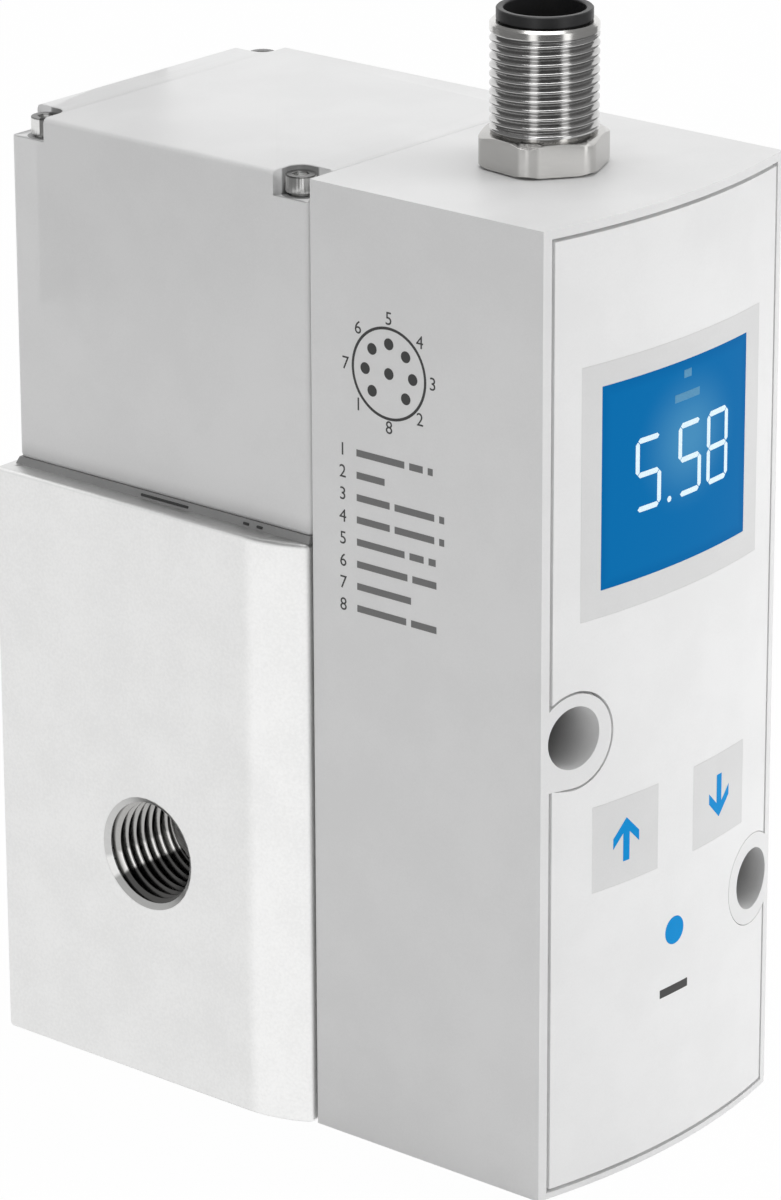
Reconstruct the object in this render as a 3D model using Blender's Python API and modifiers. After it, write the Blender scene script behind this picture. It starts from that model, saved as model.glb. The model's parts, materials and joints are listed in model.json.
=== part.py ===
"""Electro-pneumatic pressure regulator with a valve block, a pilot housing, a display housing and a
round screw connector. Metres, +Z up, display towards -Y, air ports on -X and +X, standing on Z = 0."""
import math

import bmesh
import bpy
from mathutils import Matrix

# Clearances
GAP = 0.0003              # between pieces that touch or fit in one another
FIT = 0.0002              # between the flush pieces of the display face
THIN_GAP = 0.00015        # each side of a sheet, pin or ring that is clamped or guided
OVERCUT = 0.001           # how far a cutter runs past the surface that it opens

# Housings
WIDTH = 0.0417            # both housings, side to side
HEIGHT = 0.1117           # top of both housings
FRONT_DEPTH = 0.0323      # display housing, from its front side edges to the seam
FACE_BULGE = 0.00255      # how far the middle of the face stands in front of its side edges
REAR_LENGTH = 0.0442      # pilot housing, front to back
WALL = 0.0022             # housing walls
BACK_WALL = 0.0030        # display housing's wall at the seam
EDGE_ROUND = 0.0006       # rounding of the housings' outer edges

# Valve block
BLOCK_HEIGHT = 0.0700
BLOCK_WIDTH = 0.0474
BACK_LEDGE = 0.0015       # how far the block stands out behind the pilot housing
SHOULDER_DROP = 0.0022    # how far the block's sides turn in at the seam
SHOULDER_LENGTH = 0.0080  # length of that turn along the side
BLOCK_EDGE = 0.0005

# Ports
PORT_RADIUS = 0.00660     # quarter-inch pipe thread, to the root
PORT_MOUTH_RADIUS = 0.00685
PORT_DEPTH = 0.0120
PORT_Z = 0.0280
PASSAGE_RADIUS = 0.0038
PASSAGE_OFFSET = 0.0062   # inlet passage below and outlet passage above the ports' centre line
EXHAUST_RADIUS = 0.00460
EXHAUST_MOUTH_RADIUS = 0.0049
EXHAUST_DEPTH = 0.0090
EXHAUST_Z = 0.0075
EXHAUST_PASSAGE_RADIUS = 0.0018
DRILL_POINT = 0.3         # depth of a blind bore's drill point, as a share of its radius
BASE_HOLE_RADIUS = 0.0017
BASE_HOLE_DEPTH = 0.0080
BASE_HOLE_X = 0.0165
BASE_HOLE_Y = 0.0120      # from the valve's axis, towards the back

# Valve train, on an upright axis through the middle of the block
PLUG_RADIUS = 0.0085
PLUG_BORE_DEPTH = 0.0100
INLET_CHAMBER_RADIUS = 0.0072
SEAT_BOTTOM_Z = 0.0245
SEAT_WEB = 0.0042
SEAT_RADIUS = 0.0042
OUTLET_CHAMBER_RADIUS = 0.0072
OUTLET_CHAMBER_TOP_Z = 0.0440
PISTON_RADIUS = 0.0130
PISTON_HEIGHT = 0.0085
PISTON_DISH = 0.0030      # depth of the hollow in the piston's top, and its rim's width
PISTON_TRAVEL = 0.0015
PISTON_STEM_RADIUS = 0.0024
RING_CORD = 0.0009        # cord radius of the piston's and plug's seal rings
POPPET_RADIUS = 0.0058
POPPET_THICKNESS = 0.0032
POPPET_CHAMFER = 0.0006
POPPET_PIN_RADIUS = 0.0018
TAIL_RADIUS = 0.0022
SPRING_WIRE = 0.00035
SPRING_RADIUS = 0.0038
SPRING_TURNS = 5
PLUG_HEX_FLATS = 0.0060
PLUG_HEX_DEPTH = 0.0020
PLUG_RECESS = 0.0005      # plug face above the standing surface
VENT_RADIUS = 0.0007      # cross hole from the tail's guide to the plug's exhaust groove

# Pilot parts
GASKET = 0.0004
NOTCH_DEPTH = 0.0028      # open corner pockets that hold the screw heads
NOTCH_RADIUS = 0.0019
CORNER_POST = 0.0066
SCREW_INSET_SIDE = 0.00245  # corner screws' axes from the housing's sides, front and back
SCREW_INSET_FRONT = 0.0031
SCREW_INSET_BACK = 0.0031
MANIFOLD_HEIGHT = 0.0070
PILOT_WIDTH = 0.0100
PILOT_LENGTH = 0.0150
PILOT_HEIGHT = 0.0230
PILOT_SPACING = 0.0135
PLUNGER_RADIUS = 0.0020
PLUNGER_LENGTH = 0.0080
PLUNGER_TRAVEL = 0.0006
PILOT_FLOOR = 0.0040
SENSOR_RADIUS = 0.0040
SENSOR_HEIGHT = 0.0090
SIGNAL_RADIUS = 0.0015    # control air, manifold to piston
POLE_HEAD = 0.0010        # fixed pole's head above its valve
BOARD = 0.0016

# Screws; the last three sizes are shares of the head's radius or height
CORNER_HEAD_RADIUS = 0.0017
CORNER_HEAD_HEIGHT = 0.0020
CORNER_SHANK_RADIUS = 0.0012
CORNER_GRIP = 0.0080      # length in the block
FACE_HEAD_RADIUS = 0.0033
FACE_HEAD_HEIGHT = 0.0040
FACE_SHANK_RADIUS = 0.0020
FACE_GRIP = 0.0090
HEAD_CHAMFER = 0.12
HEX_SOCKET_RADIUS = 0.55
HEX_SOCKET_DEPTH = 0.50

# Display face
RIM_SIDE = 0.0011         # housing edge seen around the panel
RIM_TOP = 0.0010
RIM_BOTTOM = 0.0007
PANEL_BACK = 0.0018       # flat back of the panel, behind the face's side edges
WELL_INSET = 0.00455      # screw wells' axes from the housing's sides
HIGH_WELL_Z = 0.0540
LOW_WELL_Z = 0.0272
WELL_RADIUS = 0.0036
BOSS_RADIUS = 0.0054
BOSS_STEP = 0.0003        # each step further in, the screw bosses grow by this
WELL_FLOOR = 0.0050       # housing left under the screw head
FRAME_MARGIN = 0.00525    # display frame from the housing's sides
FRAME_HEIGHT = 0.0287
FRAME_Z = 0.0814
SCREEN_MARGIN = 0.0029    # width of the frame beside the screen
SCREEN_HEIGHT = 0.0230
SCREEN_Z = 0.0816
LENS_FLANGE = 0.0010
KEY_WIDTH = 0.0104
KEY_HEIGHT = 0.0101
KEY_X = 0.0084
KEY_Z = 0.0401
KEY_FLANGE = 0.0008
KEY_TRAVEL = 0.0005
KEY_LIP = 0.0009          # how far a key's flange reaches behind the panel
KEY_STEM_RADIUS = 0.0012
DOT_RADIUS = 0.00165
DOT_Z = 0.0266
SWITCH_SIZE = 0.0045
SWITCH_DEPTH = 0.0015
DISPLAY_BOARD_Y = 0.0062  # front of the display board, behind the face's side edges
MAIN_BOARD_Y = 0.0255
LEDGE = 0.0014            # step in the housing's walls that carries a board's rim
CHIP_SIZE = 0.0100
CHIP_DEPTH = 0.0012
CHIP_Z = 0.0620
CAPACITOR_RADIUS = 0.0035
CAPACITOR_LENGTH = 0.0080
CAPACITOR_Z = 0.0440
WIRE_HOLE_RADIUS = 0.0050
WIRE_HOLE_Z = 0.0930

# Connector
CONNECTOR_Y = 0.0167      # behind the face's side edges
CONNECTOR_RADIUS = 0.0060
HEX_FLATS = 0.0132
HEX_HEIGHT = 0.00365
HEX_TURN = 23.0           # degrees, as screwed home
HEX_EDGE = 0.0002
UNDERCUT = 0.0005
UNDERCUT_HEIGHT = 0.0010
BARREL_HEIGHT = 0.0123
BARREL_CHAMFER = 0.0004
SHANK_RADIUS = 0.0052
SHANK_LENGTH = 0.0070
NUT_FLATS = 0.0140
NUT_HEIGHT = 0.0030
SHELL_BORE_RADIUS = 0.0050
COLLAR_RADIUS = 0.0053
COLLAR_HEIGHT = 0.0012
SOCKET_RADIUS = 0.00445
SOCKET_DEPTH = 0.0110
SEAL_RECESS = 0.0006
SEAL_RADIUS = 0.0061
PIN_RADIUS = 0.00038
PIN_CIRCLE = 0.00275
PIN_REACH = 0.0060        # pins above the socket's floor
PIN_TAIL = 0.0030
PIN_TIP = 0.5             # radius of a pin's tip, as a share of its radius
RING_PLACES = 8           # round the middle pin, one of them left free

# Places worked out from the sizes above
HALF_WIDTH = WIDTH / 2
WELL_X = HALF_WIDTH - WELL_INSET
FRAME_WIDTH = WIDTH - 2 * FRAME_MARGIN
SCREEN_WIDTH = FRAME_WIDTH - 2 * SCREEN_MARGIN
DEPTH = FACE_BULGE + FRONT_DEPTH + GAP + REAR_LENGTH + BACK_LEDGE
FACE_Y = FACE_BULGE - DEPTH / 2
SEAM_Y = FACE_Y + FRONT_DEPTH
REAR_Y = SEAM_Y + GAP
REAR_END_Y = REAR_Y + REAR_LENGTH
BLOCK_END_Y = REAR_END_Y + BACK_LEDGE
FACE_RADIUS = (HALF_WIDTH ** 2 + FACE_BULGE ** 2) / (2 * FACE_BULGE)
PANEL_BACK_Y = FACE_Y + PANEL_BACK
FACE_FRONT_Y = FACE_Y - FACE_BULGE - OVERCUT
VALVE_Y = (REAR_Y + BLOCK_END_Y) / 2
HALF_BLOCK = BLOCK_WIDTH / 2
REAR_BOTTOM_Z = BLOCK_HEIGHT + THIN_GAP + GASKET + THIN_GAP
NOTCH_FLOOR_Z = HEIGHT - NOTCH_DEPTH
CORNER_SCREW_X = HALF_WIDTH - SCREW_INSET_SIDE
CORNER_SCREW_YS = (REAR_Y + SCREW_INSET_FRONT, REAR_END_Y - SCREW_INSET_BACK)
WELL_FLOOR_Y = SEAM_Y - WELL_FLOOR
WELLS = (("left", -1, HIGH_WELL_Z), ("right", 1, LOW_WELL_Z))
DISPLAY_BOARD_FRONT = FACE_Y + DISPLAY_BOARD_Y
MAIN_BOARD_FRONT = FACE_Y + MAIN_BOARD_Y
CAVITY_BACK_Y = SEAM_Y - BACK_WALL
CONNECTOR_AXIS_Y = FACE_Y + CONNECTOR_Y
HEX_BOTTOM_Z = HEIGHT + FIT
HEX_TOP_Z = HEX_BOTTOM_Z + HEX_HEIGHT
BARREL_TOP_Z = HEX_TOP_Z + BARREL_HEIGHT
COLLAR_BOTTOM_Z = BARREL_TOP_Z + FIT
COLLAR_TOP_Z = COLLAR_BOTTOM_Z + COLLAR_HEIGHT
SOCKET_FLOOR_Z = COLLAR_TOP_Z - SOCKET_DEPTH
SHANK_BOTTOM_Z = HEIGHT - SHANK_LENGTH
SEAT_TOP_Z = SEAT_BOTTOM_Z + SEAT_WEB
PISTON_BOTTOM_Z = OUTLET_CHAMBER_TOP_Z + PISTON_TRAVEL + GAP
MANIFOLD_BOTTOM_Z = BLOCK_HEIGHT + THIN_GAP
MANIFOLD_TOP_Z = MANIFOLD_BOTTOM_Z + MANIFOLD_HEIGHT
PILOT_BOTTOM_Z = MANIFOLD_TOP_Z + GAP
PLUG_TOP_Z = PLUG_BORE_DEPTH - GAP

# Colour, roughness and metallic value of each material
FINISHES = {
    "painted_light_grey": ((0.78, 0.79, 0.80), 0.45, 0.0),
    "cast_light_grey": ((0.74, 0.75, 0.76), 0.50, 0.0),
    "panel_white": ((0.84, 0.84, 0.85), 0.40, 0.0),
    "key_grey": ((0.62, 0.63, 0.64), 0.45, 0.0),
    "dot_blue": ((0.01, 0.27, 0.66), 0.40, 0.0),
    "screen_blue": ((0.01, 0.14, 0.45), 0.20, 0.0),
    "nickel": ((0.66, 0.66, 0.64), 0.22, 1.0),
    "steel": ((0.56, 0.57, 0.58), 0.30, 1.0),
    "gold_pin": ((0.83, 0.63, 0.28), 0.25, 1.0),
    "black_plastic": ((0.02, 0.02, 0.02), 0.45, 0.0),
    "black_rubber": ((0.03, 0.03, 0.03), 0.70, 0.0),
    "board_green": ((0.02, 0.17, 0.07), 0.45, 0.0),
    "turned_aluminium": ((0.70, 0.71, 0.73), 0.30, 1.0),
}

CUTTERS_NAME = "cutters"
PARTS_NAME = "electro_pneumatic_regulator"
FULL_TURN = 2 * math.pi
ARC_STEPS = 6             # straight pieces in a short arc of an outline
BITE_STEPS = 10           # straight pieces in the outline's bite around a screw boss
FACE_STEPS = 20           # straight pieces across the curved face
COIL_STEPS = 12           # straight pieces in a turn of the spring
WELD_DISTANCE = 0.000001
SHARP_ANGLE = 35.0        # degrees between two faces that stay a hard edge


def clear_scene():
    for leftover in list(bpy.data.objects):
        bpy.data.objects.remove(leftover, do_unlink=True)


def new_collection(name):
    collection = bpy.data.collections.new(name)
    bpy.context.scene.collection.children.link(collection)
    return collection


def new_material(name):
    colour, roughness, metallic = FINISHES[name]
    material = bpy.data.materials.new(name)
    material.use_nodes = True
    shader = material.node_tree.nodes["Principled BSDF"]
    shader.inputs["Base Color"].default_value = (*colour, 1.0)
    shader.inputs["Roughness"].default_value = roughness
    shader.inputs["Metallic"].default_value = metallic
    material.diffuse_color = (*colour, 1.0)
    return material


def new_object(name, mesh):
    """Links a mesh object to the parts; a cutter is moved out of them when it is used."""
    piece = bpy.data.objects.new(name, mesh)
    bpy.data.collections[PARTS_NAME].objects.link(piece)
    return piece


def mesh_from(name, form):
    mesh = bpy.data.meshes.new(name)
    form.to_mesh(mesh)
    form.free()
    return mesh


def box(name, low, high):
    """A block between two corners, as a cube scaled in its mesh."""
    form = bmesh.new()
    bmesh.ops.create_cube(form, size=1.0)
    size = [high[i] - low[i] for i in range(3)]
    middle = [(high[i] + low[i]) / 2 for i in range(3)]
    bmesh.ops.scale(form, vec=size, verts=form.verts)
    bmesh.ops.translate(form, vec=middle, verts=form.verts)
    return new_object(name, mesh_from(name, form))


def along(axis):
    """The turn that lays the local Z axis along a world axis."""
    turns = {
        "X": Matrix.Rotation(math.pi / 2, 4, "Y"),
        "Y": Matrix.Rotation(-math.pi / 2, 4, "X"),
        "Z": Matrix.Identity(4),
    }
    return turns[axis]


def rod(name, radius, start, length, axis="Z", sides=32, turn=0.0):
    """A cylinder or prism from a start point, running in the axis's positive direction."""
    form = bmesh.new()
    bmesh.ops.create_cone(form, cap_ends=True, segments=sides, radius1=radius, radius2=radius, depth=length)
    place = Matrix.Translation(start) @ along(axis)
    inner = Matrix.Rotation(turn, 4, "Z") @ Matrix.Translation((0, 0, length / 2))
    bmesh.ops.transform(form, matrix=place @ inner, verts=form.verts)
    return new_object(name, mesh_from(name, form))


def prism(name, flats, start, height, turn=0.0):
    """An upright hexagon, given across its flats."""
    return rod(name, flats / math.sqrt(3), start, height, sides=6, turn=turn)


def turned(name, profile, place, axis="Z", steps=32, closed=False):
    """A lathe shape. The profile holds (radius, height) points, its outer side from top to bottom."""
    mesh = bpy.data.meshes.new(name)
    points = [(radius, 0.0, height) for radius, height in profile]
    edges = [(i, i + 1) for i in range(len(points) - 1)]
    if closed:
        edges.append((len(points) - 1, 0))
    mesh.from_pydata(points, edges, [])
    piece = new_object(name, mesh)
    piece.matrix_world = Matrix.Translation(place) @ along(axis)
    screw = piece.modifiers.new("lathe", "SCREW")
    screw.axis = "Z"
    screw.angle = FULL_TURN
    screw.steps = steps
    screw.render_steps = steps
    screw.use_merge_vertices = True
    screw.merge_threshold = 0.00001
    screw.use_smooth_shade = True
    return piece


def meshed(curve_object):
    """Turns a curve object into a mesh object with its caps welded."""
    depsgraph = bpy.context.evaluated_depsgraph_get()
    mesh = bpy.data.meshes.new_from_object(curve_object.evaluated_get(depsgraph))
    form = bmesh.new()
    form.from_mesh(mesh)
    bmesh.ops.remove_doubles(form, verts=form.verts, dist=WELD_DISTANCE)
    bmesh.ops.dissolve_limit(form, angle_limit=0.01, verts=form.verts, edges=form.edges)
    bmesh.ops.recalc_face_normals(form, faces=form.faces)
    form.transform(curve_object.matrix_world)
    form.to_mesh(mesh)
    form.free()
    name = curve_object.name
    bpy.data.objects.remove(curve_object, do_unlink=True)
    return new_object(name, mesh)


def plate(name, outline, low, high, plane="XY"):
    """A flat outline given a thickness: upright along Z, or along Y with the outline in XZ."""
    curve = bpy.data.curves.new(name, "CURVE")
    curve.dimensions = "2D"
    curve.fill_mode = "BOTH"
    curve.extrude = (high - low) / 2
    spline = curve.splines.new("POLY")
    spline.points.add(len(outline) - 1)
    for point, (across, up) in zip(spline.points, outline):
        point.co = (across, up, 0.0, 1.0)
    spline.use_cyclic_u = True
    piece = bpy.data.objects.new(name, curve)
    bpy.data.collections[PARTS_NAME].objects.link(piece)
    middle = (low + high) / 2
    if plane == "XZ":
        piece.matrix_world = Matrix.Translation((0, middle, 0)) @ Matrix.Rotation(math.pi / 2, 4, "X")
    else:
        piece.matrix_world = Matrix.Translation((0, 0, middle))
    bpy.context.view_layer.update()
    return meshed(piece)


def combine(piece, tool, operation):
    """Adds a Boolean step and puts its tool with the hidden ones."""
    step = piece.modifiers.new(tool.name, "BOOLEAN")
    step.operation = operation
    step.solver = "EXACT"
    step.object = tool
    tool.display_type = "WIRE"
    tool.hide_render = True
    bpy.data.collections[PARTS_NAME].objects.unlink(tool)
    bpy.data.collections[CUTTERS_NAME].objects.link(tool)
    return piece


def cut(piece, *tools):
    for tool in tools:
        combine(piece, tool, "DIFFERENCE")
    return piece


def join(piece, *tools):
    for tool in tools:
        combine(piece, tool, "UNION")
    return piece


def rounded(piece, width, segments=2, angle=40.0):
    bevel = piece.modifiers.new("edges", "BEVEL")
    bevel.width = width
    bevel.segments = segments
    bevel.limit_method = "ANGLE"
    bevel.angle_limit = math.radians(angle)
    bevel.use_clamp_overlap = True
    return piece


def dress(piece, finish):
    """Gives a piece its material and, on its round faces, smooth shading."""
    piece.data.materials.clear()
    piece.data.materials.append(bpy.data.materials[finish])
    if piece.data.polygons:
        piece.data.shade_smooth()
        piece.data.set_sharp_from_angle(angle=math.radians(SHARP_ANGLE))
    return piece


def put_origin(piece, point):
    """Moves a piece's origin onto its joint's axis and leaves its shape in place."""
    shift = Matrix.Translation(point)
    piece.data.transform(shift.inverted() @ piece.matrix_world)
    piece.matrix_world = shift
    return piece


def face_y(x):
    """The curved face's place in Y at a distance from the middle."""
    return FACE_Y - FACE_BULGE + FACE_RADIUS - math.sqrt(FACE_RADIUS ** 2 - x ** 2)


def face_outline(back):
    """Plan of everything behind the curved face, as far as a plane across the housing."""
    outline = [(HALF_WIDTH, back), (-HALF_WIDTH, back)]
    for i in range(FACE_STEPS + 1):
        x = -HALF_WIDTH + WIDTH * i / FACE_STEPS
        outline.append((x, face_y(x)))
    return outline


def boss_bite(side, z, radius, edge_x):
    """The points of the round bite that a screw boss takes out of an outline's upright edge."""
    half_open = math.acos((edge_x - WELL_X) / radius)
    points = []
    for i in range(BITE_STEPS + 1):
        angle = -half_open - (FULL_TURN - 2 * half_open) * i / BITE_STEPS
        points.append((side * (WELL_X + radius * math.cos(angle)), z + side * radius * math.sin(angle)))
    return points


def notched_outline(side, top, bottom, boss):
    """The face's outline, inset from the housing's edges and kept clear of both screw bosses."""
    edge_x = HALF_WIDTH - side
    outline = [(-edge_x, bottom), (edge_x, bottom)]
    outline += boss_bite(1, LOW_WELL_Z, boss, edge_x)
    outline += [(edge_x, HEIGHT - top), (-edge_x, HEIGHT - top)]
    outline += boss_bite(-1, HIGH_WELL_Z, boss, edge_x)
    return outline


def on_face(piece, back):
    """Cuts a piece's front back to the curved face."""
    envelope = plate(piece.name + "_face", face_outline(back), 0.0, HEIGHT)
    return combine(piece, envelope, "INTERSECT")


def face_box(name, x, z, width, height, back):
    low = (x - width / 2, FACE_FRONT_Y, z - height / 2)
    high = (x + width / 2, back, z + height / 2)
    return box(name, low, high)


def cap_screw(name, head, head_height, shank, length, place, axis, direction):
    """A socket screw with its seat at the given place and its head towards the given direction."""
    chamfer = HEAD_CHAMFER * head
    profile = [
        (0.0, head_height), (head - chamfer, head_height), (head, head_height - chamfer), (head, 0.0),
        (shank, 0.0), (shank, chamfer - length), (shank - chamfer, -length), (0.0, -length),
    ]
    screw = turned(name, profile, place, axis, steps=16)
    floor = (0, 0, head_height * (1 - HEX_SOCKET_DEPTH))
    socket = rod(name + "_socket", HEX_SOCKET_RADIUS * head, floor, head_height, sides=6)
    if direction < 0:
        flip = Matrix.Rotation(math.pi, 4, "X")
    else:
        flip = Matrix.Identity(4)
    screw.matrix_world = screw.matrix_world @ flip
    socket.matrix_world = screw.matrix_world
    cut(screw, socket)
    return dress(screw, "steel")


def block_outline():
    """Plan of the valve block, with sides that turn in towards the seam in an arc."""
    radius = (SHOULDER_LENGTH ** 2 + SHOULDER_DROP ** 2) / (2 * SHOULDER_DROP)
    sweep = math.asin(SHOULDER_LENGTH / radius)
    right = []
    for i in range(ARC_STEPS + 1):
        angle = sweep * (1 - i / ARC_STEPS)
        x = HALF_BLOCK - radius * (1 - math.cos(angle))
        right.append((x, REAR_Y + SHOULDER_LENGTH - radius * math.sin(angle)))
    right.append((HALF_BLOCK, BLOCK_END_Y))
    left = [(-x, y) for x, y in reversed(right)]
    return right + left


def port_cutter(name, radius, mouth, depth, place, axis, direction):
    """A threaded port's root bore, opening outwards through a short chamfer."""
    chamfer = mouth - radius
    drill_point = DRILL_POINT * radius
    profile = [
        (0.0, OVERCUT), (mouth, OVERCUT), (mouth, 0.0), (radius, -chamfer),
        (radius, -depth), (0.0, -depth - drill_point),
    ]
    cutter = turned(name, profile, place, axis)
    if direction < 0:
        cutter.matrix_world = cutter.matrix_world @ Matrix.Rotation(math.pi, 4, "X")
    return cutter


def valve_body():
    body = plate("valve_body", block_outline(), 0.0, BLOCK_HEIGHT)
    rounded(body, BLOCK_EDGE)
    for side, label, level in ((-1, "inlet", -PASSAGE_OFFSET), (1, "outlet", PASSAGE_OFFSET)):
        mouth = (side * HALF_BLOCK, VALVE_Y, PORT_Z)
        cut(body, port_cutter(label + "_bore", PORT_RADIUS, PORT_MOUTH_RADIUS, PORT_DEPTH, mouth, "X", side))
        inner = INLET_CHAMBER_RADIUS - OVERCUT
        outer = HALF_BLOCK - PORT_DEPTH / 2
        start = (side * inner if side > 0 else -outer, VALVE_Y, PORT_Z + level)
        cut(body, rod(label + "_passage", PASSAGE_RADIUS, start, outer - inner, "X", sides=20))
    cut(
        body,
        rod("plug_bore", PLUG_RADIUS, (0, VALVE_Y, -OVERCUT), PLUG_BORE_DEPTH + OVERCUT),
        rod("inlet_chamber", INLET_CHAMBER_RADIUS, (0, VALVE_Y, 0), SEAT_BOTTOM_Z),
        rod("seat_bore", SEAT_RADIUS, (0, VALVE_Y, 0), SEAT_TOP_Z + OVERCUT, sides=24),
        rod("outlet_chamber", OUTLET_CHAMBER_RADIUS, (0, VALVE_Y, SEAT_TOP_Z), HEIGHT - SEAT_TOP_Z),
        rod("piston_bore", PISTON_RADIUS, (0, VALVE_Y, OUTLET_CHAMBER_TOP_Z), HEIGHT - OUTLET_CHAMBER_TOP_Z),
    )
    mouth = (0, BLOCK_END_Y, EXHAUST_Z)
    radii = (EXHAUST_RADIUS, EXHAUST_MOUTH_RADIUS)
    cut(body, port_cutter("exhaust_bore", *radii, EXHAUST_DEPTH, mouth, "Y", 1))
    passage_length = BLOCK_END_Y - VALVE_Y - EXHAUST_DEPTH / 2
    passage_start = (0, VALVE_Y, PLUG_BORE_DEPTH / 2)
    cut(body, rod("exhaust_passage", EXHAUST_PASSAGE_RADIUS, passage_start, passage_length, "Y", sides=12))
    for label, side, z in WELLS:
        start = (side * WELL_X, REAR_Y - OVERCUT, z)
        tap = FACE_SHANK_RADIUS + THIN_GAP
        cut(body, rod(label + "_screw_tap", tap, start, FACE_GRIP + OVERCUT, "Y", sides=16))
    for i, (x, y) in enumerate(corner_places()):
        start = (x, y, BLOCK_HEIGHT - CORNER_GRIP)
        tap = CORNER_SHANK_RADIUS + THIN_GAP
        cut(body, rod("corner_tap_%d" % (i + 1), tap, start, CORNER_GRIP + OVERCUT, sides=12))
    for label, side in (("left", -1), ("right", 1)):
        start = (side * BASE_HOLE_X, VALVE_Y + BASE_HOLE_Y, -OVERCUT)
        cut(body, rod(label + "_base_tap", BASE_HOLE_RADIUS, start, BASE_HOLE_DEPTH + OVERCUT, sides=16))
    return dress(body, "cast_light_grey")


def corner_places():
    return [(side * CORNER_SCREW_X, y) for side in (-1, 1) for y in CORNER_SCREW_YS]


def bottom_plug():
    """Closes the block's underside, seals it, seats the spring and guides the valve's tail."""
    bottom = PLUG_RECESS
    outer = PLUG_RADIUS - THIN_GAP
    groove = outer - 2 * RING_CORD - THIN_GAP
    groove_half = RING_CORD + THIN_GAP
    groove_z = PLUG_TOP_Z - 2 * groove_half
    guide = TAIL_RADIUS + THIN_GAP
    vent_top = groove_z - 2 * groove_half
    profile = [
        (0.0, bottom + PLUG_HEX_DEPTH + GAP), (guide, bottom + PLUG_HEX_DEPTH + GAP),
        (guide, PLUG_TOP_Z), (outer, PLUG_TOP_Z), (outer, groove_z + groove_half),
        (groove, groove_z + groove_half), (groove, groove_z - groove_half), (outer, groove_z - groove_half),
        (outer, vent_top), (groove, vent_top), (groove, vent_top - 2 * EXHAUST_PASSAGE_RADIUS),
        (outer, vent_top - 2 * EXHAUST_PASSAGE_RADIUS), (outer, bottom), (0.0, bottom),
    ]
    plug = turned("bottom_plug", profile, (0, VALVE_Y, 0))
    vent_start = (-PLUG_RADIUS, VALVE_Y, vent_top - EXHAUST_PASSAGE_RADIUS)
    cut(
        plug,
        rod("plug_vent", VENT_RADIUS, vent_start, 2 * PLUG_RADIUS, "X", sides=8, turn=math.pi / 8),
        prism("plug_hex", PLUG_HEX_FLATS, (0, VALVE_Y, bottom - OVERCUT), PLUG_HEX_DEPTH - GAP + OVERCUT),
    )
    dress(plug, "turned_aluminium")
    seal_ring("plug_seal", PLUG_RADIUS - THIN_GAP, (0, VALVE_Y, groove_z))


def seal_ring(name, outer, place):
    """A round-section ring that just clears the bore around it."""
    bpy.ops.mesh.primitive_torus_add(
        major_segments=24, minor_segments=8, major_radius=outer - RING_CORD, minor_radius=RING_CORD,
        location=place,
    )
    ring = bpy.context.active_object
    ring.name = name
    for holder in list(ring.users_collection):
        holder.objects.unlink(ring)
    bpy.data.collections[PARTS_NAME].objects.link(ring)
    return dress(ring, "black_rubber")


def valve_train():
    """Poppet, spring, piston and piston ring, each on the valve's upright axis."""
    axis = (0, VALVE_Y, 0)
    poppet_top = SEAT_BOTTOM_Z - GAP
    poppet_bottom = poppet_top - POPPET_THICKNESS
    stem_bottom = SEAT_TOP_Z
    pin_top = stem_bottom - GAP
    tail_bottom = PLUG_RECESS + PLUG_HEX_DEPTH + 2 * GAP + PISTON_TRAVEL
    profile = [
        (0.0, pin_top), (POPPET_PIN_RADIUS, pin_top), (POPPET_PIN_RADIUS, poppet_top),
        (POPPET_RADIUS - POPPET_CHAMFER, poppet_top), (POPPET_RADIUS, poppet_top - POPPET_CHAMFER),
        (POPPET_RADIUS, poppet_bottom), (TAIL_RADIUS, poppet_bottom), (TAIL_RADIUS, tail_bottom),
        (0.0, tail_bottom),
    ]
    poppet = turned("main_poppet", profile, axis, steps=24)
    put_origin(poppet, axis)
    dress(poppet, "turned_aluminium")

    coil_bottom = PLUG_TOP_Z + GAP + SPRING_WIRE
    coil_top = poppet_bottom - GAP - SPRING_WIRE
    count = SPRING_TURNS * COIL_STEPS
    curve = bpy.data.curves.new("poppet_spring", "CURVE")
    curve.dimensions = "3D"
    curve.bevel_depth = SPRING_WIRE
    curve.bevel_resolution = 1
    curve.use_fill_caps = True
    spline = curve.splines.new("POLY")
    spline.points.add(count)
    for i, point in enumerate(spline.points):
        angle = FULL_TURN * SPRING_TURNS * i / count
        height = coil_bottom + (coil_top - coil_bottom) * i / count
        point.co = (SPRING_RADIUS * math.cos(angle), SPRING_RADIUS * math.sin(angle), height, 1.0)
    coil = bpy.data.objects.new("poppet_spring", curve)
    bpy.data.collections[PARTS_NAME].objects.link(coil)
    coil.location = axis
    bpy.context.view_layer.update()
    spring = meshed(coil)
    dress(spring, "steel")

    outer = PISTON_RADIUS - FIT
    groove = PISTON_RADIUS - THIN_GAP - 2 * RING_CORD - THIN_GAP
    groove_half = RING_CORD + THIN_GAP
    groove_z = PISTON_BOTTOM_Z + PISTON_HEIGHT / 2
    piston_top = PISTON_BOTTOM_Z + PISTON_HEIGHT
    rim = outer - PISTON_DISH
    profile = [
        (0.0, piston_top - PISTON_DISH), (rim, piston_top - PISTON_DISH), (rim, piston_top),
        (outer, piston_top), (outer, groove_z + groove_half), (groove, groove_z + groove_half),
        (groove, groove_z - groove_half), (outer, groove_z - groove_half), (outer, PISTON_BOTTOM_Z),
        (PISTON_STEM_RADIUS, PISTON_BOTTOM_Z), (PISTON_STEM_RADIUS, stem_bottom), (0.0, stem_bottom),
    ]
    piston = turned("control_piston", profile, axis, steps=32)
    put_origin(piston, axis)
    dress(piston, "turned_aluminium")
    seal_ring("piston_seal", PISTON_RADIUS - THIN_GAP, (0, VALVE_Y, groove_z))


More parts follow.
